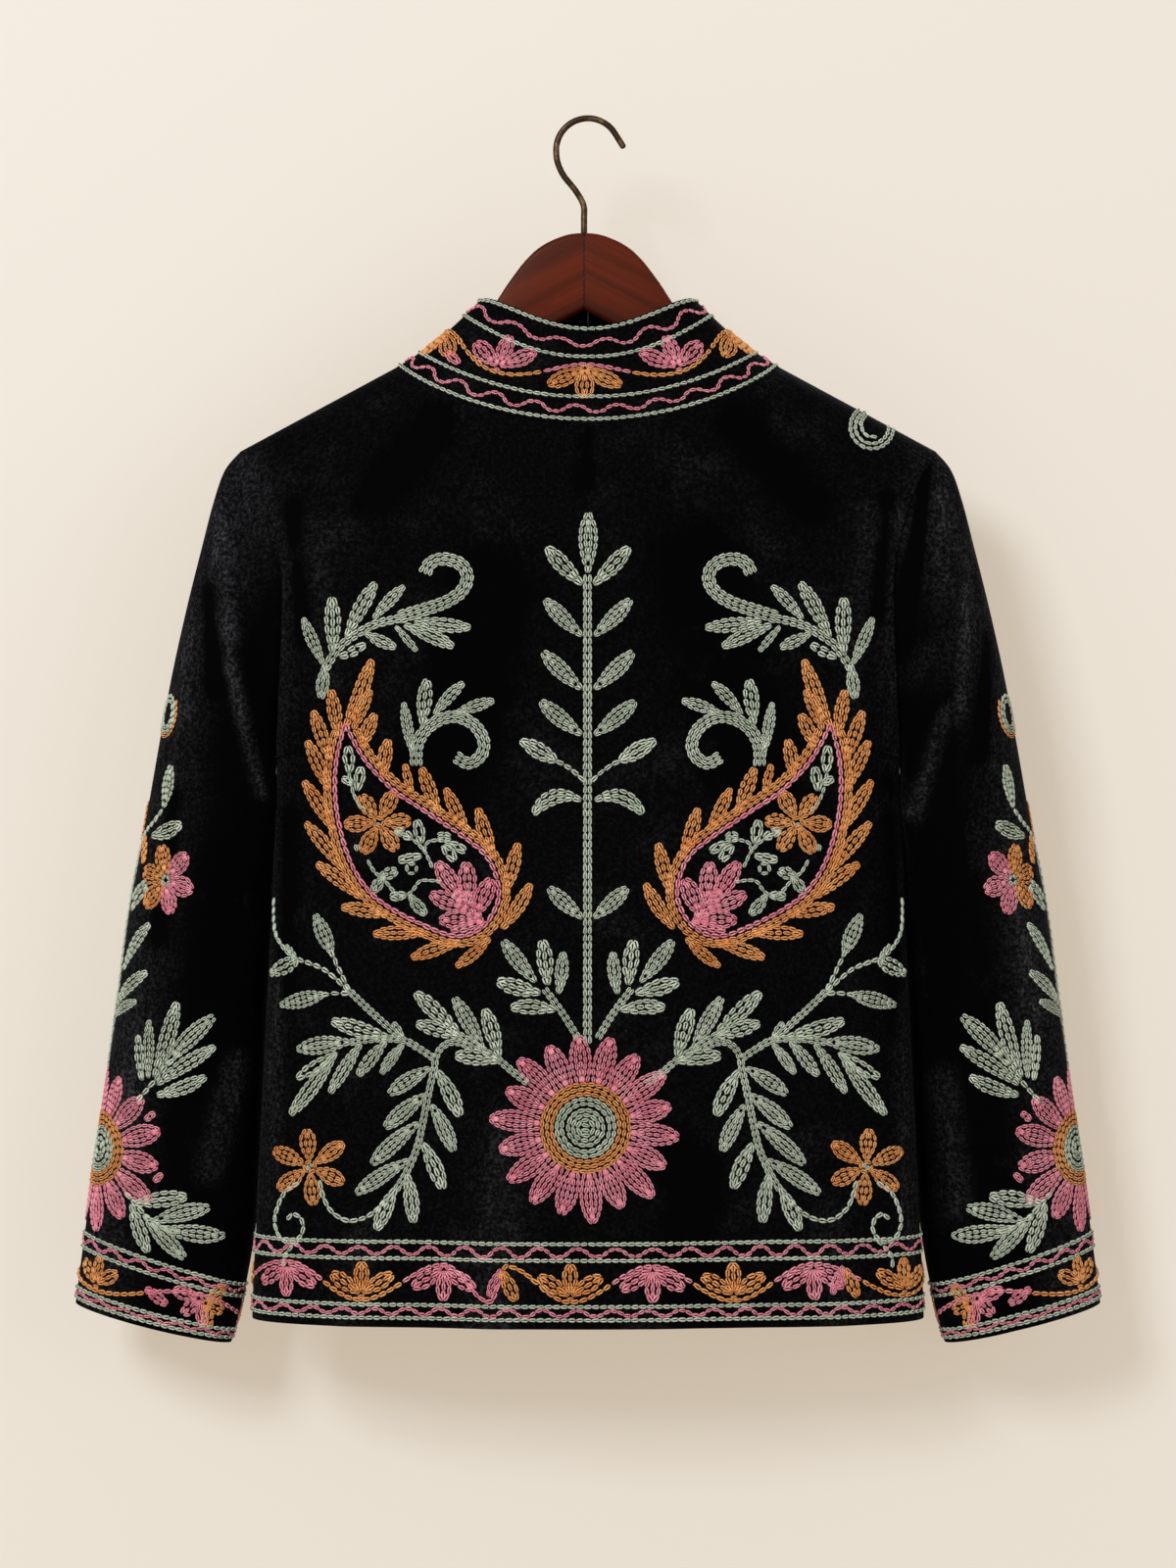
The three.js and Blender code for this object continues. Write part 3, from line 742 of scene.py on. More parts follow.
class CuffChart:
    """Lays a band round a cuff, by the distance behind the outer line and the height over the edge."""

    LENGTH = 44.0 * 13  # of the sleeve, at the pace of its last sections

    def __init__(self, shape: SleeveShape) -> None:
        """Measures the way round the cuff."""
        self.shape = shape
        self.angles = np.radians(np.linspace(-180, 180, 181))
        run = lengths_along(shape.at(np.full_like(self.angles, 0.96), self.angles))
        self.round = run - run[90]
        self.half = float(self.round[-1])

    def place(self, drawn: Array) -> tuple[Array, Array, Array]:
        """Places the drawn points."""
        angle = np.interp(drawn[:, 0], self.round, self.angles)
        along = 1 - drawn[:, 1] / self.LENGTH
        return *self.shape.placed(along, angle), np.ones(len(drawn), bool)


class CollarChart:
    """Lays a band round the collar, by the distance from the back's middle and the height on its slant."""

    def __init__(self, shape: CollarShape) -> None:
        """Measures the way round the collar's middle."""
        self.shape = shape
        self.angles = np.radians(np.linspace(-180, 180, 361))
        run = lengths_along(shape.at(self.angles, np.full_like(self.angles, 0.5)))
        self.round = run - run[180]
        self.half = float(self.round[-1])

    def place(self, drawn: Array) -> tuple[Array, Array, Array]:
        """Places the drawn points."""
        angle = np.interp(drawn[:, 0], self.round, self.angles)
        height = np.clip(drawn[:, 1] / self.shape.slant, 0, 1)
        on_cloth = np.abs(drawn[:, 0]) < self.half - 2
        return self.shape.at(angle, height), self.shape.normals(angle, height), on_cloth


# --- stitches ---


@dataclass(frozen=True)
class Row:
    """One row of chain stitch: its line as drawn, its yarn, and the size of its links."""

    line: Array
    yarn: Yarn
    size: float = 1.0


@dataclass(frozen=True)
class ChainLink:
    """One chain stitch: a drop-shaped loop of yarn, narrow where it leaves the link before it."""

    pitch: float = 4.9
    length: float = 6.05
    width: float = 3.3
    yarn: float = 1.32
    points: int = 7
    sides: int = 3

    def form(self) -> tuple[Array, Array, Array, Array]:
        """Makes one link.

        Returns:
            Points as (along, across, up), four point numbers for each face, the distance along the yarn
            and round it for each corner of each face, and how high each point lies on the yarn.
        """
        turn = 2 * np.pi * (np.arange(self.points) + 0.5) / self.points
        along = -np.cos(turn) * (self.length - self.yarn) / 2
        share = along / (self.length - self.yarn) + 0.5
        across = np.sin(turn) * (self.width - self.yarn) / 2 * (0.45 + 0.65 * share**0.8)
        up = self.yarn * (0.62 - 0.4 * share)
        loop = np.stack([along, across, up], axis=1)
        ahead = unit(np.roll(loop, -1, axis=0) - np.roll(loop, 1, axis=0))
        outward = unit(np.stack([ahead[:, 1], -ahead[:, 0], np.zeros(self.points)], axis=1))
        upward = np.array([0.0, 0.0, 1.0])
        round_turn = 2 * np.pi * (np.arange(self.sides) / self.sides + 0.25)
        ring = [np.cos(t) * outward + np.sin(t) * upward for t in round_turn]
        points = loop[:, None, :] + self.yarn / 2 * np.stack(ring, axis=1)
        number = np.arange(self.points * self.sides).reshape(self.points, self.sides)
        ahead_number = np.roll(number, -1, axis=0)
        corners = [number, np.roll(number, -1, axis=1), np.roll(ahead_number, -1, axis=1), ahead_number]
        quads = np.stack(corners, axis=-1).reshape(-1, 4)
        quads = quads if signed_volume(points.reshape(-1, 3), quads) > 0 else quads[:, ::-1]
        run = np.linalg.norm(np.diff(loop, axis=0), axis=1).mean()
        step, side = np.meshgrid(np.arange(self.points), np.arange(self.sides), indexing="ij")
        u = np.stack([step, step, step + 1, step + 1], axis=-1) * run
        v = np.stack([side, side + 1, side + 1, side], axis=-1) / self.sides
        # Painted shade: the yarn's colour darkens where this is low, on the sides and underside of each
        # strand, and stays light on top.
        crest = np.tile(0.5 + 0.5 * np.sin(round_turn), self.points)
        return points.reshape(-1, 3), quads, np.stack([u, v], axis=-1).reshape(-1, 2), crest


class Needlework:
    """Rows of chain stitch, gathered by yarn until they are made into pieces."""

    def __init__(self, link: ChainLink, seed: int) -> None:
        """Starts with no stitches.

        Args:
            link: The stitch.
            seed: For the small unevenness of handwork.
        """
        self.link = link
        self.random = np.random.default_rng(seed)
        self.frames: dict[Yarn, list[Array]] = {yarn: [] for yarn in Yarn}

    def sew(self, chart: Chart, rows: Sequence[Row]) -> None:
        """Lays rows on the cloth and sets their links, one after the other.

        Args:
            chart: Where the rows are drawn.
            rows: The rows.
        """
        lines = [respaced(row.line, 1.2) for row in rows]
        points, normals, on_cloth = chart.place(np.concatenate(lines))
        start = 0
        for row, line in zip(rows, lines):
            end = start + len(line)
            self.sew_row(row, points[start:end], normals[start:end], on_cloth[start:end])
            start = end

    def sew_row(self, row: Row, points: Array, normals: Array, on_cloth: Array) -> None:
        """Sets the links of one row along its line on the cloth."""
        run = lengths_along(points)
        pitch = self.link.pitch * row.size
        count = max(1, round(run[-1] / pitch))
        at = (np.arange(count) + 0.5) * run[-1] / count

        def read(values: Array, places: Array) -> Array:
            """Values of the line's points, read between them."""
            return np.stack([np.interp(places, run, values[:, k]) for k in range(3)], axis=1)

        kept = np.interp(at, run, on_cloth.astype(float)) > 0.7
        at = at[kept]
        if not len(at):
            return
        ahead = unit(read(points, at + 0.45 * pitch) - read(points, at - 0.45 * pitch))
        up = unit(read(normals, at))
        across = unit(np.cross(up, ahead))
        swing = self.random.normal(0, 0.07, (len(at), 1))
        ahead, across = ahead + swing * across, across - swing * ahead
        spread = row.size * self.random.normal(1, 0.06, (len(at), 1))
        reach = row.size * self.random.normal(1, 0.05, (len(at), 1))
        frames = np.stack([read(points, at), ahead * reach, across * spread, up * row.size], axis=1)
        self.frames[row.yarn].append(frames)

    def make(self, name: str, finishes: dict[Yarn, bpy.types.Material]) -> None:
        """Makes one piece of each yarn.

        Args:
            name: The start of each piece's name.
            finishes: The material of each yarn.
        """
        form, quads, uv, crest = self.link.form()
        for yarn, gathered in self.frames.items():
            if not gathered:
                continue
            frames = np.concatenate(gathered)
            points = frames[:, None, 0] + np.einsum("pk,nkc->npc", form, frames[:, 1:])
            numbers = quads[None] + np.arange(len(frames))[:, None, None] * len(form)
            shift = self.random.uniform(0, 40, (len(frames), 1, 1))
            corners = uv[None] + np.concatenate([shift, np.zeros_like(shift)], axis=2)
            piece_name = f"{name}_{yarn.name.lower()}"
            flat_numbers, flat_corners = numbers.reshape(-1, 4), corners.reshape(-1, 2)
            finish, flat_points = finishes[yarn], points.reshape(-1, 3)
            piece = make_piece(piece_name, flat_points, flat_numbers, finish, yarn.value, uv=flat_corners)
            # Stores the painted shade of the yarn's sides and underside.
            store_painted_light(piece, np.tile(crest, len(frames)))


# --- motifs ---


class Leaf(NamedTuple):
    """A leaf, petal or bud, from its tip to its base. The bow bends it to the left of that way."""

    tip_x: float
    tip_y: float
    base_x: float
    base_y: float
    width: float
    bow: float = 0.0


def leaf_table(*rows: tuple[float, ...]) -> tuple[Leaf, ...]:
    """Leaves from rows of tip x, tip y, base x, base y, width and, where it isn't 0, bow."""
    return tuple(Leaf(*row) for row in rows)


class LeafForm(Enum):
    """The outlines of leaves: where they are widest, how blunt their ends are, and where they start."""

    LEAF = (1.35, 0.6, 0.0)
    PETAL = (1.35, 0.52, 0.2)
    BLUNT = (1.4, 0.52, 0.0)
    BUD = (0.95, 0.7, 0.0)
    FEATHER = (1.35, 0.62, 0.0)


def nested_rows(spine: Array, half: Array, yarn: Yarn) -> list[Row]:
    """Rows that fill a long form, each one inside the last, and a vein where there is room for one.

    Args:
        spine: The line down the form's middle.
        half: Half its width at each point of the spine.
        yarn: The yarn.

    Returns:
        The rows, the outline first.
    """
    left = sideways(spine)
    widest = half.max()
    across = max(2, round(2 * widest / ROW - 0.1))
    spacing = (2 * widest - ROW) / (across - 1)
    size = min(max(spacing / 3.4, 0.84), 1.18)
    rows = []
    for loop in range(across // 2):
        inset = 0.5 * ROW + loop * spacing
        wide = np.flatnonzero(half > inset * (1 if loop == 0 else 0.8))
        span = slice(wide[0], wide[-1] + 1)
        reach = np.maximum(half[span] - inset, 0.5)[:, None] * left[span]
        rows.append(Row(spine[span] + reach, yarn, size))
        rows.append(Row(spine[span] - reach, yarn, size))
    if across % 2:
        wide = np.flatnonzero(half > 0.55 * widest)
        rows.append(Row(spine[wide[0] : wide[-1] + 1], yarn, size))
    return rows


def leaf_rows(leaf: Leaf, yarn: Yarn, form: LeafForm = LeafForm.LEAF) -> list[Row]:
    """The rows of one leaf."""
    base, tip = np.array([leaf.base_x, leaf.base_y]), np.array([leaf.tip_x, leaf.tip_y])
    way = tip - base
    widest, blunt, start = form.value
    way_on = way / np.linalg.norm(way)
    base, tip = base - (REACH_ON if start else ROOTED) * way_on, tip + REACH_ON * way_on
    base = tip - (tip - base) / (1 - start)
    bend = (base + tip) / 2 + leaf.bow * np.array([-way[1], way[0]])
    s = np.linspace(start, 1, 41)[:, None]
    spine = (1 - s) ** 2 * base + 2 * s * (1 - s) * bend + s**2 * tip
    half = leaf.width / 2 * np.sin(np.pi * s[:, 0] ** widest) ** blunt
    return nested_rows(spine, half, yarn)


def leaves(table: Iterable[Leaf], yarn: Yarn, form: LeafForm = LeafForm.LEAF) -> list[Row]:
    """The rows of several leaves."""
    return [row for leaf in table for row in leaf_rows(leaf, yarn, form)]


def band(points: Sequence[tuple[float, float]], rows: int, yarn: Yarn, size: float = 1.0) -> list[Row]:
    """Rows side by side along a smooth line."""
    line = smooth_line(points)
    left = sideways(line)
    offsets = (np.arange(rows) - (rows - 1) / 2) * ROW * size * 0.95
    return [Row(line + offset * left, yarn, size) for offset in offsets]


def circle(x: float, y: float, radius: float, turn: Array) -> Array:
    """Points of a circle at some turns."""
    return np.stack([x + radius * np.cos(turn), y + radius * np.sin(turn)], axis=1)


def ring(x: float, y: float, radius: float, yarn: Yarn, size: float = 1.0) -> Row:
    """One round row. Rings of another radius start at another turn, so that their links don't line up."""
    turn = 1.7 * radius + np.linspace(0, 2 * np.pi, max(9, int(radius * 3)))
    return Row(circle(x, y, radius, turn), yarn, size)


def disc(x: float, y: float, radius: float, yarn: Yarn, size: float = 1.0) -> list[Row]:
    """A round spot of rings, with a dark line inside its broad rim where there is room for one."""
    edge = radius - 0.5 * ROW * size
    rows = []
    while edge > 0.2 * ROW or not rows:
        rows.append(ring(x, y, max(edge, 0.4), yarn, size))
        edge -= ROW * size + (0.9 if radius > 12 and len(rows) == 2 else 0)
    return rows


@dataclass(frozen=True)
class Flower:
    """Petals round a ring of orange and a green spot."""

    x: float
    y: float
    reach: float
    petals: int
    petal_width: float
    core: float
    spot: float
    yarns: tuple[Yarn, ...]
    phase: float = 0.0

    def rows(self) -> list[Row]:
        """The rows of the petals, the ring and the spot."""
        rows: list[Row] = []
        form = LeafForm.PETAL if self.petals > 8 else LeafForm.BLUNT
        for k in range(self.petals):
            turn = math.radians(self.phase) + 2 * math.pi * k / self.petals
            reach = self.reach * (1 + 0.05 * math.sin(2.7 * k + self.x))
            tip = (self.x + reach * math.cos(turn), self.y + reach * math.sin(turn))
            base = (self.x + self.core * math.cos(turn), self.y + self.core * math.sin(turn))
            yarn = self.yarns[k % len(self.yarns)]
            rows += leaf_rows(Leaf(*tip, *base, self.petal_width), yarn, form)
        edge = self.core - 0.5 * ROW
        while edge > self.spot:
            rows.append(ring(self.x, self.y, edge, Yarn.ORANGE))
            edge -= ROW
        return rows + disc(self.x, self.y, self.spot, Yarn.GREEN, min(1, 0.5 + self.spot / 12))


@dataclass(frozen=True)
class Fan:
    """A few petals that spread from one point, with a knot over their root."""

    x: float
    y: float
    facing: float
    yarn: Yarn
    reach: float = 18.5
    width: float = 11.0
    spread: float = 59.0
    petals: int = 3
    knot: float = 3.4

    def rows(self) -> list[Row]:
        """The rows of the petals and the knot."""
        rows: list[Row] = []
        for k in range(self.petals):
            off = k - (self.petals - 1) / 2
            turn = math.radians(self.facing + self.spread * off)
            reach = self.reach * (1 + 0.2 * abs(off))
            tip = (self.x + reach * math.cos(turn), self.y + reach * math.sin(turn))
            root = (self.x + 1.5 * math.cos(turn), self.y + 1.5 * math.sin(turn))
            rows += leaf_rows(Leaf(*tip, *root, self.width), self.yarn, LeafForm.BLUNT)
        return rows + disc(self.x, self.y, self.knot, self.yarn, 0.8)


def mirrored(rows: Iterable[Row]) -> list[Row]:
    """The same rows on the other side of the middle."""
    return [Row(row.line * [-1, 1], row.yarn, row.size) for row in rows]


# --- drawing of the back ---


class BackDrawing:
    """The embroidery of the back, as the eye sees it. Both halves mirror what is drawn on the left."""

    stem = ((-0.3, -289), (-0.3, -430), (-0.3, -588))
    top_leaf = Leaf(0.2, -249.4, 0, -289, 13)
    stem_leaves = leaf_table(
        (-26.6, -271, -2.5, -296, 11, 0.04), (-28, -304, -2.5, -329, 11.5, 0.04),
        (-29.5, -337.5, -2.5, -363, 12, 0.04), (-31, -369, -2.5, -392, 12, 0.04),
        (-25.6, -488, -2.5, -508.5, 11.5, 0.04), (-35.4, -443.5, -2, -436, 10.5, -0.55),
    )
    stem_bud = Leaf(-44, -394, -20.6, -407.5, 11)
    bud_stalk = ((-20.6, -407.5), (-11, -413), (-2, -421))

    curl_leaves = leaf_table(
        (-181.9, -315.6, -167.5, -348.3, 9, 0.03), (-163.5, -302.4, -163.5, -341, 11, -0.04),
        (-134.4, -292.9, -155, -331, 10.5, 0.05), (-116.5, -295.7, -138, -319, 9, 0.05),
        (-73.4, -322.8, -114, -317.5, 10, -0.03), (-84.6, -335.5, -120, -320, 10, 0.03),
        (-107.7, -339.5, -125, -319, 6), (-122.1, -335.5, -143, -325.5, 9, -0.05),
        (-141.2, -332.3, -161, -342, 7, -0.12), (-170.3, -368.2, -167.5, -346, 9.5),
    )
    curl_spine = ((-168, -350), (-158.8, -335.5), (-146, -326), (-134.8, -320.4), (-119, -316.6))
    curl_hook = (
        (-120.5, -316.2), (-106.9, -312), (-92, -307), (-81, -300), (-77, -291), (-80.5, -283), (-91, -279),
        (-100.3, -281.5), (-104, -288.5),
    )
    inner_leaves = leaf_table(
        (-117.7, -369.2, -111, -406.9, 8.5, 0.02), (-102.4, -355.3, -105.5, -386, 10.5, 0.03),
        (-78.6, -357.4, -99, -380, 9, 0.08), (-59.1, -369.2, -86, -378.5, 9, 0.06),
    )
    inner_hook = (
        (-109.4, -411.1), (-109, -398.5), (-103.5, -388), (-93, -381), (-82.1, -380), (-72, -385.5),
        (-66.5, -395), (-68, -404), (-76, -409.3), (-84.5, -405),
    )

    paisley_edge = (
        (-154.7, -383.9), (-160.3, -406.9), (-161, -432), (-156.1, -458.5), (-147.7, -479.4),
        (-133.8, -496.2), (-110, -510.1), (-84.9, -519.4), (-68.2, -514.3), (-58.5, -500.4),
        (-57.3, -486.4), (-64, -469.6), (-78, -457.1), (-103.1, -440.4), (-124, -426.4), (-140.8, -409),
        (-150.5, -393), (-154.2, -383.9),
    )
    feathers = leaf_table(
        (-137.3, -341.3, -157, -390, 10.5, -0.05), (-138, -361.5, -150, -390, 9.5, 0.06),
        (-135.1, -377.6, -144, -401, 10, 0.1), (-126.8, -393.6, -130, -420, 10, 0.1),
        (-117, -408.3, -111, -431, 6.5, 0.05), (-106.5, -411, -93.3, -443, 10, 0.04),
        (-91.2, -424.3, -75.2, -454.5, 9.5, 0.04), (-70.3, -436.9, -58.5, -473, 10, 0.04),
        (-44.5, -459.2, -54.5, -496, 10, -0.04), (-36.1, -485, -57, -517, 10, -0.08),
        (-84.9, -539.4, -61.2, -519, 9, 0.08), (-113.5, -533.8, -79, -522.7, 10, -0.04),
        (-138, -518.5, -101, -518.5, 10, -0.06), (-158.2, -501, -124.5, -507.5, 10, -0.06),
        (-174.2, -472.4, -142.5, -497.5, 10, -0.05), (-181.2, -445.9, -154, -480.5, 10, -0.04),
        (-181.9, -419.4, -160.5, -455.5, 10, -0.03), (-179.8, -393.6, -163.5, -430, 10, -0.02),
        (-175.6, -374.8, -163.5, -410, 10, 0.0), (-163.8, -361.5, -158, -395, 10, 0.02),
    )
    paisley_flower = Flower(-133.5, -447.2, 21, 6, 12, 4.6, 1.8, (Yarn.ORANGE,), 3)
    paisley_twigs = (
        ((-152.5, -415), (-150.8, -424), (-147.5, -433), (-142, -440)),
        ((-123.4, -452.2), (-113.3, -456.9), (-104.7, -464.7), (-99.2, -475.6)),
        ((-104.7, -466.3), (-102.3, -460), (-95.3, -458.4), (-87.5, -460)),
        ((-140.6, -470.9), (-135.9, -478.8), (-130.5, -482.7), (-125, -489.7), (-118.8, -494.4),
         (-112.5, -491.3), (-106.3, -484.2), (-93, -485)),
    )
    paisley_sprigs = leaf_table(
        (-152.8, -398.3, -151.8, -416.3, 8.1), (-144.5, -411.6, -147, -427, 7.7),
        (-156, -419, -150, -422, 6.4), (-123.4, -451.5, -111, -458, 7, -0.05),
        (-108.9, -445.9, -106, -461, 8.1), (-95.5, -456, -87.8, -456.4, 8.3),
        (-78.1, -465.3, -88.5, -460, 7), (-84.4, -471.5, -93, -460.8, 7.4),
        (-121.1, -470.9, -105.5, -467.5, 7, 0.08), (-147.9, -460, -146.5, -466.5, 4.5),
        (-121.6, -477.8, -132.8, -481.6, 9), (-137.2, -491, -131, -482.5, 8.7),
        (-126, -494.6, -115.6, -493.2, 7), (-103.1, -505.8, -113.5, -492.8, 9, -0.1),
    )
    paisley_dot = (-112.5, -476.4)
    bud_lobes = leaf_table(
        (-96, -472.6, -79.7, -498, 13), (-77.6, -472.6, -76, -500, 13), (-61.8, -483.2, -72, -507, 13),
        (-100.3, -492.8, -77, -503, 12.5), (-94.6, -509.4, -68, -508.4, 12.5), (-84, -490, -67, -512, 12),
        (-88, -516, -64, -510, 7),
    )

    upright_leaves = leaf_table(
        (-54.7, -521.4, -32, -550, 11.5, 0.04), (-29.2, -521.4, -26, -552, 11, -0.03),
        (-16, -529, -19.5, -558, 9.5, -0.06), (-58.6, -548.1, -29, -556, 11, 0.04),
        (-49.6, -565.4, -20, -567.5, 10.5, -0.12),
    )
    upright_stem = ((-6, -585), (-17, -567.5), (-28, -553))
    side_leaves = leaf_table(
        (-66.2, -565.4, -56.5, -598, 11, -0.04), (-86, -557.7, -66, -594, 11.5, -0.03),
        (-110.8, -554.5, -80.9, -581.3, 11, 0.03), (-110.2, -574.9, -81, -584, 10.5, -0.02),
        (-85.3, -596, -56, -600, 11, -0.08),
    )
    side_stem = ((-38, -613.5), (-48, -606), (-57, -598.5), (-73.2, -588), (-86, -580))
    side_hook = ((-97.5, -597.9), (-93.6, -590.9), (-86, -587.1), (-73.2, -590.3))
    long_spine = (
        (-97.5, -597.9), (-98.1, -604.3), (-101.3, -618.3), (-105.1, -637.4), (-108.9, -654),
        (-115.3, -669.3), (-122.5, -681.5),
    )
    long_leaves = leaf_table(
        (-127.4, -620.8, -99.5, -603, 11.5, -0.05), (-130, -642.5, -102, -619.5, 12, -0.04),
        (-138.9, -666.1, -106, -637, 12, -0.04), (-149.1, -684.6, -112, -661, 11.5, -0.04),
        (-135.1, -707.6, -122, -679, 10.5, -0.03), (-81.5, -634.9, -97, -604, 11, 0.06),
        (-85.3, -657.8, -101, -625.5, 11.5, 0.06), (-92.3, -681.4, -106, -650.5, 11, 0.06),
        (-111.5, -703.1, -115.8, -669.5, 10.5, 0.05),
    )
    droop_leaves = leaf_table(
        (-164.5, -573, -124.5, -584.5, 11, 0.03), (-185.9, -591.9, -150, -587, 12.5, -0.04),
        (-187, -610.9, -160, -593, 8, 0.02), (-190.9, -634.8, -158.5, -590.5, 10.5, 0.03),
        (-165, -620.8, -142.5, -585.5, 9.5, -0.04), (-147.1, -609.4, -127, -585, 9.5, -0.04),
        (-132.1, -607.9, -116.5, -587, 8.5, -0.05), (-124.6, -574, -117.5, -585, 6),
    )
    droop_stem = ((-97.5, -597.9), (-108, -591), (-117.7, -585.9), (-133.6, -585), (-152, -587.2))
    bud_stem = ((-117.7, -585.9), (-125.6, -579), (-139, -567), (-151.6, -555))
    twigs = (
        ((-151.6, -555), (-158.5, -541), (-164.5, -528.1)),
        ((-151.6, -555), (-160, -547.5), (-169.5, -540.1), (-185.4, -534.1)),
        ((-151.6, -556), (-161, -556), (-170.5, -557.1)),
        ((-185.4, -534.1), (-193, -528), (-199.2, -516), (-199.9, -495.3)),
    )
    buds = leaf_table(
        (-174.5, -504.2, -163.5, -530, 11.5), (-197.9, -564, -168.5, -556.8, 11.5),
        (-202.9, -544.1, -185.4, -534.6, 11), (-194, -523.6, -186, -533, 5),
    )
    great_flower = Flower(-1.5, -641.8, 58.5, 18, 15.2, 29.5, 20, (Yarn.ROSE,), 14.3)
    small_flower = Flower(-177.2, -666.6, 24.5, 6, 12, 5, 2.4, (Yarn.ORANGE,), -25)
    hem_curl = (
        (-184.1, -676.6), (-192.7, -682.5), (-197.6, -692), (-199.4, -702), (-196.5, -711), (-191, -714.6),
        (-184.8, -712.5), (-181.4, -705.6), (-183.6, -698.9), (-188, -697.2), (-191.9, -700),
    )
    hem_tail = ((-184, -713), (-190, -719), (-193.5, -724), (-194, -731))
    low_stem = (
        (-171.1, -675.2), (-168.3, -686.7), (-162.5, -696), (-152.5, -701), (-140.3, -698.1), (-128, -688),
    )
    shoulder_ring = (181.0, -195.0)

    def central(self) -> list[Row]:
        """The stem in the middle with its leaves, and the great flower under it."""
        rows = band(self.stem, 2, Yarn.GREEN) + leaf_rows(self.top_leaf, Yarn.GREEN)
        half = leaves(self.stem_leaves + self.upright_leaves, Yarn.GREEN)
        half += leaf_rows(self.stem_bud, Yarn.GREEN, LeafForm.BUD)
        half += band(self.bud_stalk, 1, Yarn.GREEN, 1.1)
        half += band(self.upright_stem, 2, Yarn.GREEN, 0.85)
        return rows + half + mirrored(half) + self.great_flower.rows()

    def paisley(self) -> list[Row]:
        """The left paisley with its feathers, and what grows inside it."""
        rows = leaves(self.feathers, Yarn.ORANGE, LeafForm.FEATHER)
        rows += band(self.paisley_edge, 1, Yarn.ROSE, 1.15)
        edge = smooth_line(self.paisley_edge)[6:-6]
        rows += [Row(edge - sideways(edge) * out, Yarn.ORANGE) for out in (3.4, 6.2)]
        for twig in self.paisley_twigs:
            rows += band(twig, 1, Yarn.GREEN, 0.9)
        rows += leaves(self.paisley_sprigs, Yarn.GREEN)
        rows += disc(*self.paisley_dot, 4.5, Yarn.GREEN, 0.85)
        return rows + self.paisley_flower.rows() + leaves(self.bud_lobes, Yarn.ROSE, LeafForm.BLUNT)

    def sprays(self) -> list[Row]:
        """The curled sprays over the left paisley."""
        rows = leaves(self.curl_leaves + self.inner_leaves, Yarn.GREEN)
        rows += band(self.curl_spine, 2, Yarn.GREEN)
        rows += band(self.curl_hook, 3, Yarn.GREEN)
        return rows + band(self.inner_hook, 3, Yarn.GREEN, 0.95)

    def side_branches(self) -> list[Row]:
        """The branches that reach down and out from the great flower, on the left."""
        rows = leaves(self.side_leaves + self.long_leaves + self.droop_leaves, Yarn.GREEN)
        rows += band(self.side_stem, 2, Yarn.GREEN, 0.85)
        rows += band(self.side_hook, 2, Yarn.GREEN, 0.8)
        for stem in (self.long_spine, self.droop_stem, self.bud_stem):
            rows += band(stem, 2, Yarn.GREEN, 0.85)
        for twig in self.twigs:
            rows += band(twig, 1, Yarn.GREEN, 1.15)
        return rows + leaves(self.buds, Yarn.GREEN, LeafForm.BUD)

    def low_flower(self) -> list[Row]:
        """The small flower over the left end of the hem, and its curl."""
        rows = self.small_flower.rows()
        rows += band(self.hem_curl, 1, Yarn.GREEN, 1.15)
        rows += band(self.low_stem, 1, Yarn.GREEN, 1.15)
        return rows + band(self.hem_tail, 1, Yarn.GREEN, 1.05)

    def half(self) -> list[Row]:
        """All that is drawn on the left half alone."""
        return self.paisley() + self.sprays() + self.side_branches() + self.low_flower()

    def shoulder(self) -> list[Row]:
        """The small coil that lies over the right shoulder."""
        x, y = self.shoulder_ring
        turn = np.radians(np.linspace(78, 402, 50))
        rows = [Row(circle(x, y, radius, turn), Yarn.GREEN) for radius in (13.8, 10.6)]
        hook = ((x - 4, y + 7.5), (x - 7, y + 2), (x - 4, y - 5), (x + 3, y - 6.5))
        return rows + band(hook, 1, Yarn.GREEN)


# --- borders ---


class Node(NamedTuple):
    """A place where the vine of a border turns: under a fan that stands up, or over one that hangs."""

    at: float
    stands: bool
    fan: Yarn | None
    vine: Yarn
    lean: float = 0.0


def turned(at: float, stands: bool) -> Node:
    """A turn of the vine with an orange fan that stands, or a rose one that hangs."""
    yarn = Yarn.ORANGE if stands else Yarn.ROSE
    return Node(at, stands, yarn, yarn)


class Wave(NamedTuple):
    """A waving row of a border: its height, half the wave's height, and the wave's length."""

    height: float
    swing: float
    length: float


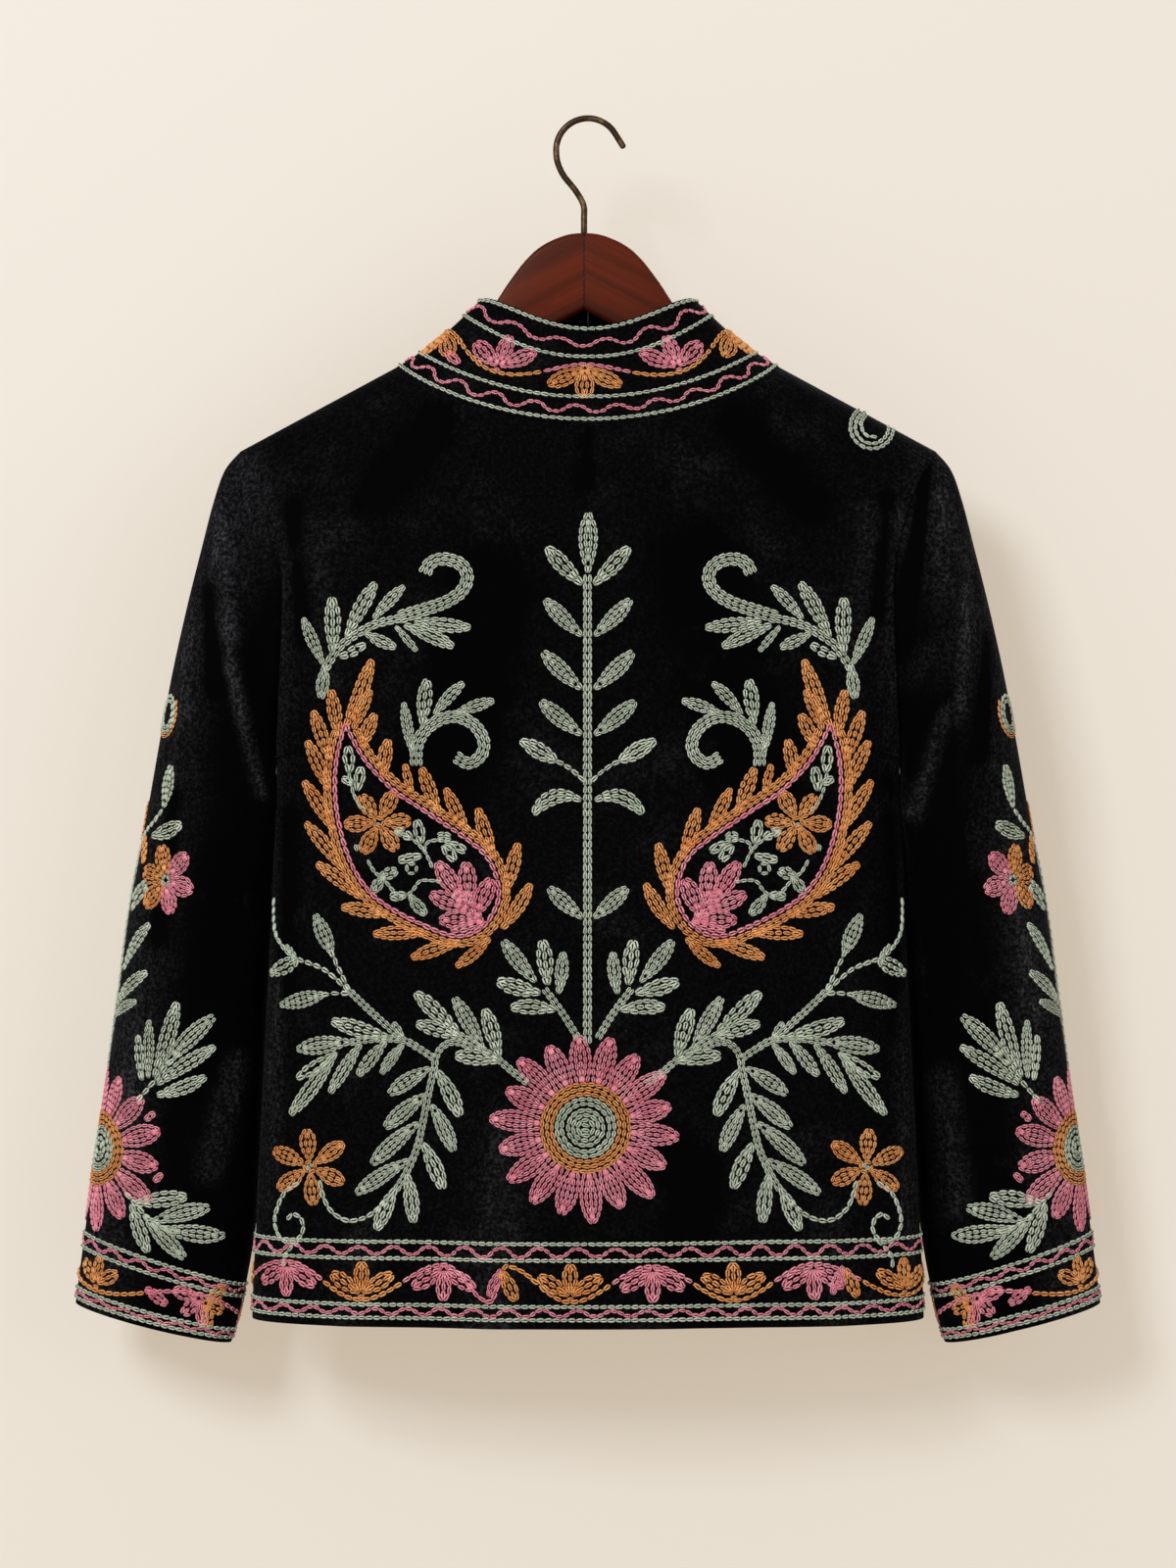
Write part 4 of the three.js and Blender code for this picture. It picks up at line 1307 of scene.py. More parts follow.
@dataclass(frozen=True)
class Border:
    """Lines and waves round an edge, with a vine and its fans between them."""

    lines: tuple[float, ...]
    waves: tuple[Wave, ...]
    vine: tuple[float, float]  # its lowest and highest place
    fan_reach: float = 18.8
    fan_width: float = 10.6
    rise: float = 0.0  # how far the line over the vine climbs to the sides

    def rows(self, end: float, nodes: Sequence[Node]) -> list[Row]:
        """The rows of the border, for as far to each side as it goes, with its vine's turns in order."""
        run = np.arange(-end, end, 1.0)
        lift = self.rise * np.minimum(np.abs(run) / 110, 1) ** 2
        rows = []
        for height, share in zip(self.lines, (0, 1, 0, 0)):
            rows.append(Row(np.stack([run, height + share * lift], axis=1), Yarn.GREEN))
        for (height, swing, length), share in zip(self.waves, (0.5, 0)):
            phase = 2 * np.pi * run / length + height + 0.5 * np.sin(run / 41 + height)
            uneven = swing * (0.92 + 0.16 * np.sin(run / 29 + height))
            wave = height + share * lift + uneven * (np.sin(phase) + 0.08 * np.sin(3 * phase))
            rows.append(Row(np.stack([run, wave], axis=1), Yarn.ROSE, 0.92))
        return rows + self.vine_rows(run, nodes) + self.fan_rows(nodes)

    def vine_rows(self, run: Array, nodes: Sequence[Node]) -> list[Row]:
        """The vine, which changes its yarn halfway between its turns."""
        low, high = self.vine
        at = np.array([node.at for node in nodes])
        share = np.interp(run, at, [0.0 if node.stands else 1.0 for node in nodes])
        height = low + (high - low) * (1 - np.cos(np.pi * share)) / 2
        line = np.stack([run, height], axis=1)
        nearest = np.abs(run[:, None] - at).argmin(axis=1)
        cuts = np.flatnonzero(np.diff(nearest)) + 1
        parts = zip(np.split(line, cuts), np.split(nearest, cuts))
        return [Row(part, nodes[near[0]].vine, 1.1) for part, near in parts if len(part) > 3]

    def fan_rows(self, nodes: Sequence[Node]) -> list[Row]:
        """The fans at the vine's turns."""
        low, high = self.vine
        rows: list[Row] = []
        for node in nodes:
            if node.fan:
                height, facing = (low + 4, 90) if node.stands else (high - 2.5, -90)
                fan = Fan(node.at, height, facing + node.lean, node.fan, self.fan_reach, self.fan_width)
                rows += fan.rows()
        return rows


# --- materials ---


class Wire:
    """A socket that carries numbers in a material, with the operators of arithmetic."""

    def __init__(self, graph: Graph, socket: bpy.types.NodeSocket | None) -> None:
        """Wraps an output socket of a graph's node, or None for a node without one."""
        self.graph = graph
        self.socket = socket

    def _math(self, operation: str, *values: Any) -> Wire:
        """Adds one Math node."""
        return self.graph.node("ShaderNodeMath", {"operation": operation}, *values)

    def __add__(self, other: Any) -> Wire:
        """self + other."""
        return self._math("ADD", self, other)

    __radd__ = __add__

    def __sub__(self, other: Any) -> Wire:
        """self - other."""
        return self._math("SUBTRACT", self, other)

    def __rsub__(self, other: Any) -> Wire:
        """other - self."""
        return self._math("SUBTRACT", other, self)

    def __mul__(self, other: Any) -> Wire:
        """self * other."""
        return self._math("MULTIPLY", self, other)

    __rmul__ = __mul__

    def sine(self) -> Wire:
        """The sine of the value."""
        return self._math("SINE", self)

    def size(self) -> Wire:
        """The value without its sign."""
        return self._math("ABSOLUTE", self)

    def between(self, low: float, high: float) -> Wire:
        """Rises smoothly from 0 at low to 1 at high."""
        settings = {"interpolation_type": "SMOOTHSTEP"}
        return self.graph.node("ShaderNodeMapRange", settings, self, low, high, 0.0, 1.0)


class Graph:
    """The nodes of one material."""

    def __init__(self, name: str) -> None:
        """Starts a material with nothing but its output."""
        self.material = bpy.data.materials.new(name)
        self.material.use_nodes = True
        self.tree = self.material.node_tree
        self.tree.nodes.clear()

    def node(self, kind: str, settings: dict[str, Any] | None = None, *values: Any, **named: Any) -> Wire:
        """Adds a node.

        Args:
            kind: The node's type.
            settings: What is set on the node before its sockets.
            values: Numbers, colours or wires for its sockets, in order; None leaves one alone.
            named: The same by a socket's name, with _ for a space, or out for the output to read.

        Returns:
            The node's output, the first one or the one that out names.
        """
        node = self.tree.nodes.new(kind)
        for key, value in (settings or {}).items():
            setattr(node, key, value)
        out = named.pop("out", 0)
        shown = [socket for socket in node.inputs if socket.enabled]
        pairs = list(zip(shown, values))
        pairs += [(node.inputs[key.replace("_", " ")], value) for key, value in named.items()]
        for socket, value in pairs:
            if isinstance(value, Wire):
                self.tree.links.new(value.socket, socket)
            elif value is not None:
                socket.default_value = value
        outputs = [socket for socket in node.outputs if socket.enabled] or [None]
        return Wire(self, outputs[out] if isinstance(out, int) else node.outputs[out])

    def place(self, stretch: tuple[float, float, float] = (1, 1, 1), tilt: float = 0.0) -> Wire:
        """The place on the object in millimetres, turned about +Y and stretched."""
        where = self.node("ShaderNodeTexCoord", out="Object")
        scale = tuple(value / MM for value in stretch)
        turned = self.node("ShaderNodeMapping", {"vector_type": "TEXTURE"}, where, (0, 0, 0), (0, tilt, 0))
        return self.node("ShaderNodeVectorMath", {"operation": "MULTIPLY"}, turned, scale)

    def noise(self, where: Wire, grain: float, detail: float = 2.0, roughness: float = 0.5) -> Wire:
        """Cloudy noise with features about one grain across."""
        return self.node(
            "ShaderNodeTexNoise", None, where, Scale=1 / grain, Detail=detail, Roughness=roughness
        )

    def mix(self, share: Any, low: Any, high: Any) -> Wire:
        """A colour between two colours."""
        return self.node("ShaderNodeMix", {"data_type": "RGBA"}, share, low, high)

    def bump(self, height: Wire, distance: float, strength: float = 1.0, under: Wire | None = None) -> Wire:
        """A bump of a real height in millimetres, over another one if given."""
        named = {"Normal": under} if under else {}
        return self.node(
            "ShaderNodeBump", None, Strength=strength, Distance=distance * MM, Height=height, **named
        )

    def surface(self, **sockets: Any) -> bpy.types.Material:
        """Ends the material in a Principled surface with the given sockets."""
        return self.end(self.node("ShaderNodeBsdfPrincipled", None, **sockets))

    def end(self, shader: Wire) -> bpy.types.Material:
        """Joins a shader to the material's output."""
        self.node("ShaderNodeOutputMaterial", None, Surface=shader)
        return self.material


def colour(code: str) -> tuple[float, float, float, float]:
    """A screen colour, such as "9db39b", as the linear one that a socket takes."""
    parts = [int(code[i : i + 2], 16) / 255 for i in (0, 2, 4)]
    linear = [part / 12.92 if part < 0.04045 else ((part + 0.055) / 1.055) ** 2.4 for part in parts]
    return (*linear, 1.0)


@dataclass(frozen=True)
class VelvetFinish:
    """Short silk pile, near black face on, with a cool sheen where it turns away, and painted sheen in its
    base colour on crease ridges and turned-away sides, over random mottling.
    """

    pile: str = "030304"
    mottle_and_painted_sheen: str = "3a393d"
    bloom: str = "b4b0c4"

    def material(self) -> bpy.types.Material:
        """Makes the material."""
        g = Graph("black velvet")
        where = g.place()
        hung = g.place((1, 1, 0.28))
        # Painted sheen: the base colour lightens where the pieces store painted light, on crease ridges and
        # on sides that turn away, broken into streaks.
        painted_sheen_mask = g.node("ShaderNodeAttribute", {"attribute_name": "painted_light"}, out="Fac")
        cloud = g.noise(where, 48, 4, 0.6).between(0.5, 0.78)
        streaks = g.noise(hung, 8, 3, 0.6).between(0.48, 0.78)
        crushed = g.noise(where, 2.4, 4, 0.75).between(0.42, 0.7)
        painted_sheen_streaks = painted_sheen_mask * (0.55 + 0.9 * streaks)
        mottle_and_painted_sheen = (0.05 + cloud * 0.18 + painted_sheen_streaks) * (0.1 + 1.5 * crushed)
        lit = g.node("ShaderNodeClamp", None, mottle_and_painted_sheen)
        pile = g.noise(where, 0.5, 2, 0.7)
        lift = g.bump(crushed, 0.3, 0.5)
        return g.surface(
            Base_Color=g.mix(lit, colour(self.pile), colour(self.mottle_and_painted_sheen)),
            Roughness=0.86 - 0.14 * lit,
            Normal=g.bump(pile, 0.22, 0.7, lift),
            Specular_IOR_Level=0.012,
            Sheen_Weight=0.045,
            Sheen_Roughness=0.3,
            Sheen_Tint=colour(self.bloom),
        )


@dataclass(frozen=True)
class YarnFinish:
    """Soft twisted wool of one dye, a little uneven from stitch to stitch, with painted shade between plies
    and under strands.
    """

    name: str
    shade: str
    light: str
    dark: str
    painted_shade: str

    def material(self) -> bpy.types.Material:
        """Makes the material."""
        g = Graph(self.name)
        where = g.place()
        stitch = g.noise(where, 5.5, 1, 0.5).between(0.3, 0.7)
        batch = g.noise(where, 30, 2, 0.5).between(0.3, 0.7)
        fluff = g.noise(where, 0.6, 3, 0.6)
        on_yarn = g.node("ShaderNodeUVMap", {"uv_map": "Yarn"})
        along = g.node("ShaderNodeSeparateXYZ", None, on_yarn)
        round_yarn = g.node("ShaderNodeSeparateXYZ", None, on_yarn, out=1)
        ply = ((along * (1 / 1.1) + round_yarn * 2.0) * (2 * math.pi)).sine() * 0.5 + 0.5
        shade = g.mix(stitch * 0.6 + batch * 0.4, colour(self.dark), colour(self.light))
        body = g.mix(0.5, shade, colour(self.shade))
        crest = g.node("ShaderNodeAttribute", {"attribute_name": "painted_light"}, out="Fac")
        # Painted shade: darker colour in the grooves between plies and on the sides and underside of each
        # strand.
        base_with_painted_shade = g.mix(((1 - ply) * 0.3 + (1 - crest) * 0.55).between(0.08, 1.05), body, colour(self.painted_shade))
        return g.surface(
            Base_Color=base_with_painted_shade,
            Roughness=0.78 - 0.1 * stitch,
            Normal=g.bump(fluff, 0.12, 0.5, g.bump(ply, 0.16, 0.8)),
            Specular_IOR_Level=0.3,
            Sheen_Weight=0.25,
            Sheen_Roughness=0.5,
            Sheen_Tint=colour(self.light),
        )


@dataclass(frozen=True)
class WoodFinish:
    """Varnished red-brown wood. Its grain runs down one arm of the hanger, away from the mitre."""

    hand: int
    mitre: float
    slope: float = 27.0

    def material(self) -> bpy.types.Material:
        """Makes the material."""
        g = Graph("varnished wood " + ("right" if self.hand > 0 else "left"))
        where = g.place()
        grain_way = g.place((0.035, 1, 1), self.hand * math.radians(self.slope))
        board = g.place((0.008, 0.4, 0.4), self.hand * math.radians(self.slope))
        bands = g.noise(board, 4.5, 3, 0.55).between(0.3, 0.72)
        fibre = g.noise(grain_way, 0.75, 4, 0.65)
        pores = g.noise(grain_way, 0.32, 2, 0.6).between(0.58, 0.72)
        warm = g.mix(bands * 0.7, colour("300e02"), colour("6a2408"))
        toned = g.mix(fibre.between(0.35, 0.7) * 0.5, warm, colour("4c1808"))
        pored = g.mix(pores * 0.5, toned, colour("240a05"))
        across = g.node("ShaderNodeSeparateXYZ", None, where)
        joint = 1 - (across - self.mitre).size().between(0.25, 0.9)
        return g.surface(
            Base_Color=g.mix(joint * 0.85, pored, colour("1a0803")),
            Roughness=0.4 + 0.16 * fibre,
            Normal=g.bump(fibre, 0.1, 0.35),
            Specular_IOR_Level=0.08,
            Coat_Weight=0.05,
            Coat_Roughness=0.3,
        )


@dataclass(frozen=True)
class BronzeFinish:
    """Drawn wire with a brown antique finish, worn a little brighter in places."""

    def material(self) -> bpy.types.Material:
        """Makes the material."""
        g = Graph("antique bronze")
        where = g.place()
        worn = g.noise(where, 6, 4, 0.6).between(0.45, 0.75)
        fine = g.noise(where, 0.5, 2, 0.5)
        return g.surface(
            Base_Color=g.mix(worn, colour("3a2c20"), colour("7a6248")),
            Metallic=0.92,
            Roughness=0.34 + 0.14 * fine,
            Normal=g.bump(fine, 0.04, 0.5),
        )


@dataclass(frozen=True)
class PlasterFinish:
    """Plain pale ground for the floor and the screen behind."""

    tone: str = "c4beb4"
    ground: str = "9da4a9"
    glow: str = "ffe6c6"

    def material(self, one_sided: bool) -> bpy.types.Material:
        """Makes the material.

        Args:
            one_sided: Whether nothing shows of it from behind.

        Returns:
            The material.
        """
        g = Graph("screen" if one_sided else "floor")
        glow = {"Emission_Color": colour(self.glow), "Emission_Strength": 0.45} if one_sided else {}
        tone = colour(self.ground if one_sided else self.tone)
        shader = g.node("ShaderNodeBsdfPrincipled", None, Base_Color=tone, Roughness=0.9, **glow)
        if one_sided:
            behind = g.node("ShaderNodeNewGeometry", out="Backfacing")
            clear = g.node("ShaderNodeBsdfTransparent")
            shader = g.node("ShaderNodeMixShader", None, behind, shader, clear)
        return g.end(shader)


# --- jacket ---


@dataclass
class Jacket:
    """The velvet pieces of the jacket and the embroidery on them."""

    body: BodyShape = field(default_factory=BodyShape)
    neck_step: int = 3  # degrees between columns at the neck
    side_columns: int = 26
    armhole_rows: int = 58
    skirt_rows: int = 72
    sleeve_columns: int = 72
    sleeve_rows: int = 124
    collar_rows: int = 16
    collar_lean: tuple[float, float, float, float] = (0.55, 0.98, 0.83, 0.2)

    def neck_angles(self) -> Array:
        """Angles of the columns at the neck, over one quarter of it."""
        return np.radians(np.arange(0, 91, self.neck_step))

    def half_turns(self) -> Array:
        """Turns of the body's columns from the middle to one side."""
        at_neck = np.arcsin(NECK_HALF_WIDTH * np.sin(self.neck_angles()) / SHOULDER_X)
        outside = np.linspace(at_neck[-1], np.pi / 2, self.side_columns + 1)[1:]
        return np.concatenate([at_neck, outside])

    def neck_inward(self, angle: Array) -> Array:
        """The way that a wall's edge goes in at the neck seam."""
        side, middle, side_up, middle_up = self.collar_lean
        sine, cosine = np.sin(angle), np.cos(angle)
        up = side_up * sine**2 + middle_up * cosine**2
        return WALL * unit(np.stack([-side * sine, middle * cosine, -up], axis=-1))

    def armhole_inward(self, angle: Array) -> Array:
        """The way that a wall's edge goes in at the armhole seam."""
        ways = [np.zeros_like(angle), np.sin(angle) / ARMHOLE_HALF_DEPTH, -np.cos(angle) * 2 / ARMHOLE_DROP]
        return WALL * unit(np.stack(ways, axis=-1))

    def shell(
        self, name: str, wall: tuple[Array, Array], painted_light: Array, velvet: bpy.types.Material
    ) -> bpy.types.Object:
        """Makes one velvet piece in the place of the node of its name, with its painted sheen on both faces.
        """
        piece = make_piece(name + "_velvet", *wall, velvet, "velvet")
        store_painted_light(piece, np.tile(painted_light.ravel(), 2))
        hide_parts(name)
        return piece

    def panel(self, name: str, side: int, turns: Array, velvet: bpy.types.Material) -> bpy.types.Object:
        """Makes the back or one front as a thin closed shell.

        Args:
            name: The node that the shell stands for.
            side: -1 for the back and 1 for a front.
            turns: The turns of its columns.
            velvet: Its material.

        Returns:
            The piece.
        """
        skirt = 1 + np.linspace(0, 1, self.skirt_rows + 1)[1:]
        rows = np.concatenate([np.linspace(0, 1, self.armhole_rows + 1), skirt])
        turn, row = np.meshgrid(turns, rows, indexing="ij")
        quarter = np.pi / 2
        surface = partial(self.body.at_row, side)
        outer = surface(turn, row)
        limits = ((-quarter, quarter), (0.0, 2.0))
        inward = -WALL * normals_of(surface, turn, row, limits, self.body.inside)
        outer[..., 1] = side * np.maximum(np.abs(outer[..., 1]), SEAM / 2)
        at_edge = np.abs(turn) > quarter - 1e-6
        in_armhole = at_edge & (row <= 1)
        outer[..., 0] -= np.where(at_edge & (row < 1), np.sign(turn) * SEAM / 2, 0)
        neck_turn = self.half_turns()[len(self.neck_angles()) - 1]
        top = row == 0
        at_neck = top & (np.abs(turn) <= neck_turn + 1e-9)
        outer[..., 2] -= np.where(at_neck, SEAM / 2, 0)
        armhole = self.armhole_inward(np.pi * row) * [1, -side, 1]
        inward = np.where(in_armhole[..., None], armhole, inward)
        below = at_edge & (row > 1)
        across = np.stack([-np.sign(turn) * WALL, 0 * turn, 0 * turn], axis=-1)
        inward = np.where(below[..., None], across, inward)
        ridge = top & ~at_neck & ~at_edge
        inward = np.where(ridge[..., None], [0, 0, -WALL], inward)
        angle = np.arcsin(np.clip(SHOULDER_X * np.sin(turn) / NECK_HALF_WIDTH, -1, 1))
        neck = self.neck_inward(np.pi - angle if side > 0 else angle)
        inward = np.where(at_neck[..., None], neck, inward)
        if side > 0:
            at_opening = turn == 0
            middle = np.sign(turns[-1] + turns[0]) * FRONT_GAP / 2
            outer[..., 0] = np.where(at_opening, middle, outer[..., 0])
            inward = np.where((at_opening & ~top)[..., None], [0, -WALL, 0], inward)
        creases = self.body.back_creases if side < 0 else self.body.front_creases
        # Painted sheen: lighter on the ridges of the creases and towards the sides, where the body turns
        # away.
        painted_light = relief(creases, outer[..., 0], outer[..., 2]) / 5 + 0.35 * smoothstep(np.abs(turn), 1.1, 1.5)
        return self.shell(name, wall_between(outer, outer + inward, False), painted_light, velvet)

    def collar(self, shape: CollarShape, velvet: bpy.types.Material) -> bpy.types.Object:
        """Makes the standing collar."""
        half = np.concatenate([self.neck_angles(), np.pi - self.neck_angles()[:-1][::-1]])
        angles = np.concatenate([-half[1:][::-1], half])
        heights = np.linspace(0, 1, self.collar_rows + 1)
        angle, height = np.meshgrid(angles, heights, indexing="ij")
        outer = shape.at(angle, height)
        ends = np.abs(angle) > np.pi - 1e-6
        outer[..., 0] = np.where(ends, np.sign(angle) * FRONT_GAP / 2, outer[..., 0])
        outer[..., 2] += np.where(height == 0, SEAM / 2, 0)
        normal = shape.normals(angle, height)
        normal[..., 0] = np.where(ends, 0, normal[..., 0])
        inward = -WALL * unit(normal)
        inward = np.where((height == 0)[..., None], self.neck_inward(angle), inward)
        return self.shell("collar", wall_between(outer, outer + inward, False), 0 * height, velvet)

    def sleeve(self, name: str, shape: SleeveShape, velvet: bpy.types.Material) -> bpy.types.Object:
        """Makes one sleeve."""
        angles = 2 * np.pi * np.arange(self.sleeve_columns) / self.sleeve_columns
        alongs = np.linspace(0, 1, self.sleeve_rows + 1) ** 1.1
        angle, along = np.meshgrid(angles, alongs, indexing="ij")
        outer = shape.at(along, angle)
        outer[..., 0] += np.where(along == 0, SEAM / 2, 0)
        inward = -WALL * shape.normals(along, angle)
        inward = np.where((along == 0)[..., None], self.armhole_inward(angle), inward)
        mirror = np.array([shape.hand, 1, 1])
        wall = wall_between(outer * mirror, (outer + inward) * mirror, True)
        # Painted sheen: lighter on the ridges of the creases and along the outer side of the sleeve.
        painted_light = shape.fine_relief(angle, outer[..., 0], outer[..., 2]) / 2.8
        painted_light += 0.6 * smoothstep(np.cos(angle), -0.1, 1) - 0.1
        return self.shell(name, wall, painted_light, velvet)

    def build(self) -> None:
        """Makes the velvet pieces and sews the embroidery on."""
        velvet = VelvetFinish().material()
        half = self.half_turns()
        left_half = -half[1:][::-1]
        back = self.panel("back", -1, np.concatenate([left_half, half]), velvet)
        for name, turns in (("front_left", np.append(left_half, 0.0)), ("front_right", half)):
            front = self.panel(name, 1, turns, velvet)
        shape = CollarShape(self.body)
        collar = self.collar(shape, velvet)
        sleeves = {"sleeve_left": SleeveShape(-1), "sleeve_right": SleeveShape(1)}
        for name, sleeve_shape in sleeves.items():
            sleeve = self.sleeve(name, sleeve_shape, velvet)
        Embroidery(self.body, shape, sleeves).build()


# --- embroidery ---


class SleeveDrawing:
    """The embroidery of a sleeve, about its outer line, by the way behind it and up from the cuff."""

    great_flower = Flower(13, 101, 50.5, 14, 15, 24.5, 15.5, (Yarn.ROSE,), 22)
    petal_yarns = (Yarn.ROSE,) * 2 + (Yarn.ORANGE,) * 3 + (Yarn.ROSE,)
    small_flower = Flower(48, 278, 22.5, 6, 14.5, 4.2, 4.1, petal_yarns, -8)
    half_leaves = leaf_table(
        (39, 351, 36, 322, 12), (54, 315, 28, 304, 11, -0.08), (34, 273, 15, 253, 8, 0.05),
        (41, 250, 14, 213, 10, 0.06), (44, 219, 8, 190, 10, 0.08), (37, 199, 4, 183, 8.5, 0.06),
        (66, 205, 53, 150, 11, -0.03), (47, 190, 50, 149, 9, -0.02), (40, 180, 47, 146, 7, 0.04),
        (91, 199, 59, 160, 12, 0.05), (93.5, 180, 53, 146, 10, 0.04), (88, 160, 54, 142, 10, -0.1),
        (83, 82, 47, 71, 11, 0.04), (98, 77, 60, 62, 12, 0.05), (109, 60, 66, 60, 12.5, -0.05),
        (85, 42, 54, 68, 12, -0.05), (61, 42, 46, 73, 10.5, -0.06),
    )
    buds = (Leaf(18, 304, 23, 286, 9.5), Leaf(4, 327, 6, 300, 9))
    half_stems = (
        ((36, 322), (28, 313), (16, 303), (9, 288), (4, 276)),
        ((4, 276), (2, 258), (3, 238), (6, 209), (6, 190), (2, 168), (3, 150)),
        ((43, 136), (50, 145), (62, 162), (70, 172)),
        ((41, 78), (50, 71), (62, 62), (78, 58)),
        ((30, 275), (22, 270), (14, 262)),
    )
    petals = (Leaf(57, 132, 51, 126, 6), Leaf(65, 94, 61, 89, 6))
    coil = (23.0, 382.0)

    def rows(self) -> list[Row]:
        """All rows of the drawing: one half behind the outer line, and the same before it."""
        half = leaves(self.half_leaves, Yarn.GREEN) + leaves(self.buds, Yarn.ORANGE, LeafForm.BUD)
        for stem in self.half_stems:
            half += band(stem, 1, Yarn.GREEN, 1.2)
        half += leaves(self.petals, Yarn.ROSE, LeafForm.BUD) + self.small_flower.rows()
        x, y = self.coil
        rings = [ring(x, y, 8.6, Yarn.GREEN), ring(x, y, 11.8, Yarn.GREEN)]
        turn = np.radians(np.linspace(-150, 40, 40))
        rows = [*half, *mirrored(half), *rings, Row(circle(x, y, 14.6, turn), Yarn.ORANGE, 0.8)]
        return rows + self.great_flower.rows()


@dataclass
class Embroidery:
    """All the chain stitch of the jacket."""

    body: BodyShape
    collar: CollarShape
    sleeves: dict[str, SleeveShape]
    link: ChainLink = field(default_factory=ChainLink)

    def finishes(self) -> dict[Yarn, bpy.types.Material]:
        """The material of each yarn."""
        return {
            Yarn.GREEN: YarnFinish("sage yarn", "c8d6c0", "f0f6ea", "a3b49b", "1c2519").material(),
            Yarn.ORANGE: YarnFinish("orange yarn", "faa45c", "ffca8a", "d67f40", "361405").material(),
            Yarn.ROSE: YarnFinish("rose yarn", "fe92a6", "ffc2cf", "da718b", "380e22").material(),
        }

    def hem_nodes(self, chart: HemChart) -> list[Node]:
        """The turns of the hem's vine, from the front opening round the back to the opening again."""
        seen = (-194, -145.2, -92.2, -11.3, 41.2, 93, 144.8)
        nodes = [turned(chart.from_seen(x), k % 2 == 1) for k, x in enumerate(seen)]
        nodes[3:3] = [Node(-61, True, None, Yarn.ROSE), Node(-51, False, None, Yarn.ORANGE)]
        pace = 62.0
        for k in range(1, 9):
            nodes.append(turned(nodes[-1].at + pace, k % 2 == 1))
            nodes.insert(0, turned(nodes[0].at - pace, k % 2 == 1))
        return [node for node in nodes if abs(node.at) < chart.half]

    def build(self) -> None:
        """Sews every part and makes the pieces."""
        finishes = self.finishes()
        drawing = BackDrawing()
        half = drawing.half()
        back = BodyChart(self.body, -1)
        work = Needlework(self.link, 11)
        work.sew(back, drawing.central() + half + mirrored(half) + drawing.shoulder())
        work.make("back_motifs", finishes)
        front = BodyChart(self.body, 1)
        work = Needlework(self.link, 12)
        work.sew(front, half + mirrored(half))
        work.make("front_motifs", finishes)

        hem_chart = HemChart(self.body)
        waves = (Wave(47.4, 2.9, 23), Wave(9.9, 2.1, 21))
        hem = Border((52.8, 42.6, 14, 5.8), waves, (17, 39))
        work = Needlework(self.link, 13)
        work.sew(hem_chart, hem.rows(hem_chart.half - 2, self.hem_nodes(hem_chart)))
        for at in (-45, 170):
            work.sew(hem_chart, leaf_rows(Leaf(at, 18, at - 8, 36, 10), Yarn.ORANGE, LeafForm.BLUNT))
            work.sew(hem_chart, leaf_rows(Leaf(at - 17, 20, at - 8.5, 38.5, 8.5), Yarn.ROSE))
        work.make("hem_border", finishes)

        collar_chart = CollarChart(self.collar)
        waves = (Wave(56, 2.8, 37), Wave(10, 3, 20.7))
        collar = Border((66.2, 46.6, 18.6, 2.9), waves, (26.5, 41), 20.5, 12.6, 7.5)
        sides = [Node(56, True, Yarn.ROSE, Yarn.ORANGE, -8), Node(108, False, Yarn.ORANGE, Yarn.ORANGE)]
        sides += [Node(159, True, Yarn.ROSE, Yarn.ROSE), Node(210, False, Yarn.ORANGE, Yarn.ORANGE)]
        middle = Node(-2, False, Yarn.ORANGE, Yarn.ROSE)
        nodes = [node._replace(at=-node.at, lean=-node.lean) for node in sides[::-1]] + [middle] + sides
        work = Needlework(self.link, 14)
        work.sew(collar_chart, collar.rows(collar_chart.half - 2, nodes))
        work.sew(collar_chart, leaf_rows(Leaf(-79, 23.5, -93, 27.5, 7), Yarn.ROSE))
        work.make("collar_border", finishes)

        waves = (Wave(38.8, 1.6, 18), Wave(9.7, 1.2, 18))
        cuff = Border((42.5, 35, 13, 6.3), waves, (16.5, 31.5), 14, 9.5)
        nodes = [turned(at, k % 2 == 1) for k, at in enumerate((-174, -107, -40, 27, 96, 163))]
        nodes[4] = nodes[4]._replace(lean=-35)
        extra = leaf_rows(Leaf(77, 21, 60, 27, 8.5), Yarn.ROSE)
        extra += Fan(101, 27, -10, Yarn.ORANGE, 13, 9.5).rows()
        for name, shape in self.sleeves.items():
            work = Needlework(self.link, 15 + shape.hand)
            cuff_chart = CuffChart(shape)
            work.sew(cuff_chart, cuff.rows(cuff_chart.half, nodes) + extra)
            work.sew(SleeveChart(shape), SleeveDrawing().rows())
            work.make(name + "_motifs", finishes)


# --- hanger ---

BOARD_TOP = SizeTable(
    "out z",
    (0, -71.3), (8.5, -72), (17, -74.6), (26, -79), (34, -85.5), (44, -97.5), (55.5, -114.8), (78, -138),
    (104, -155), (128, -163.5),
)


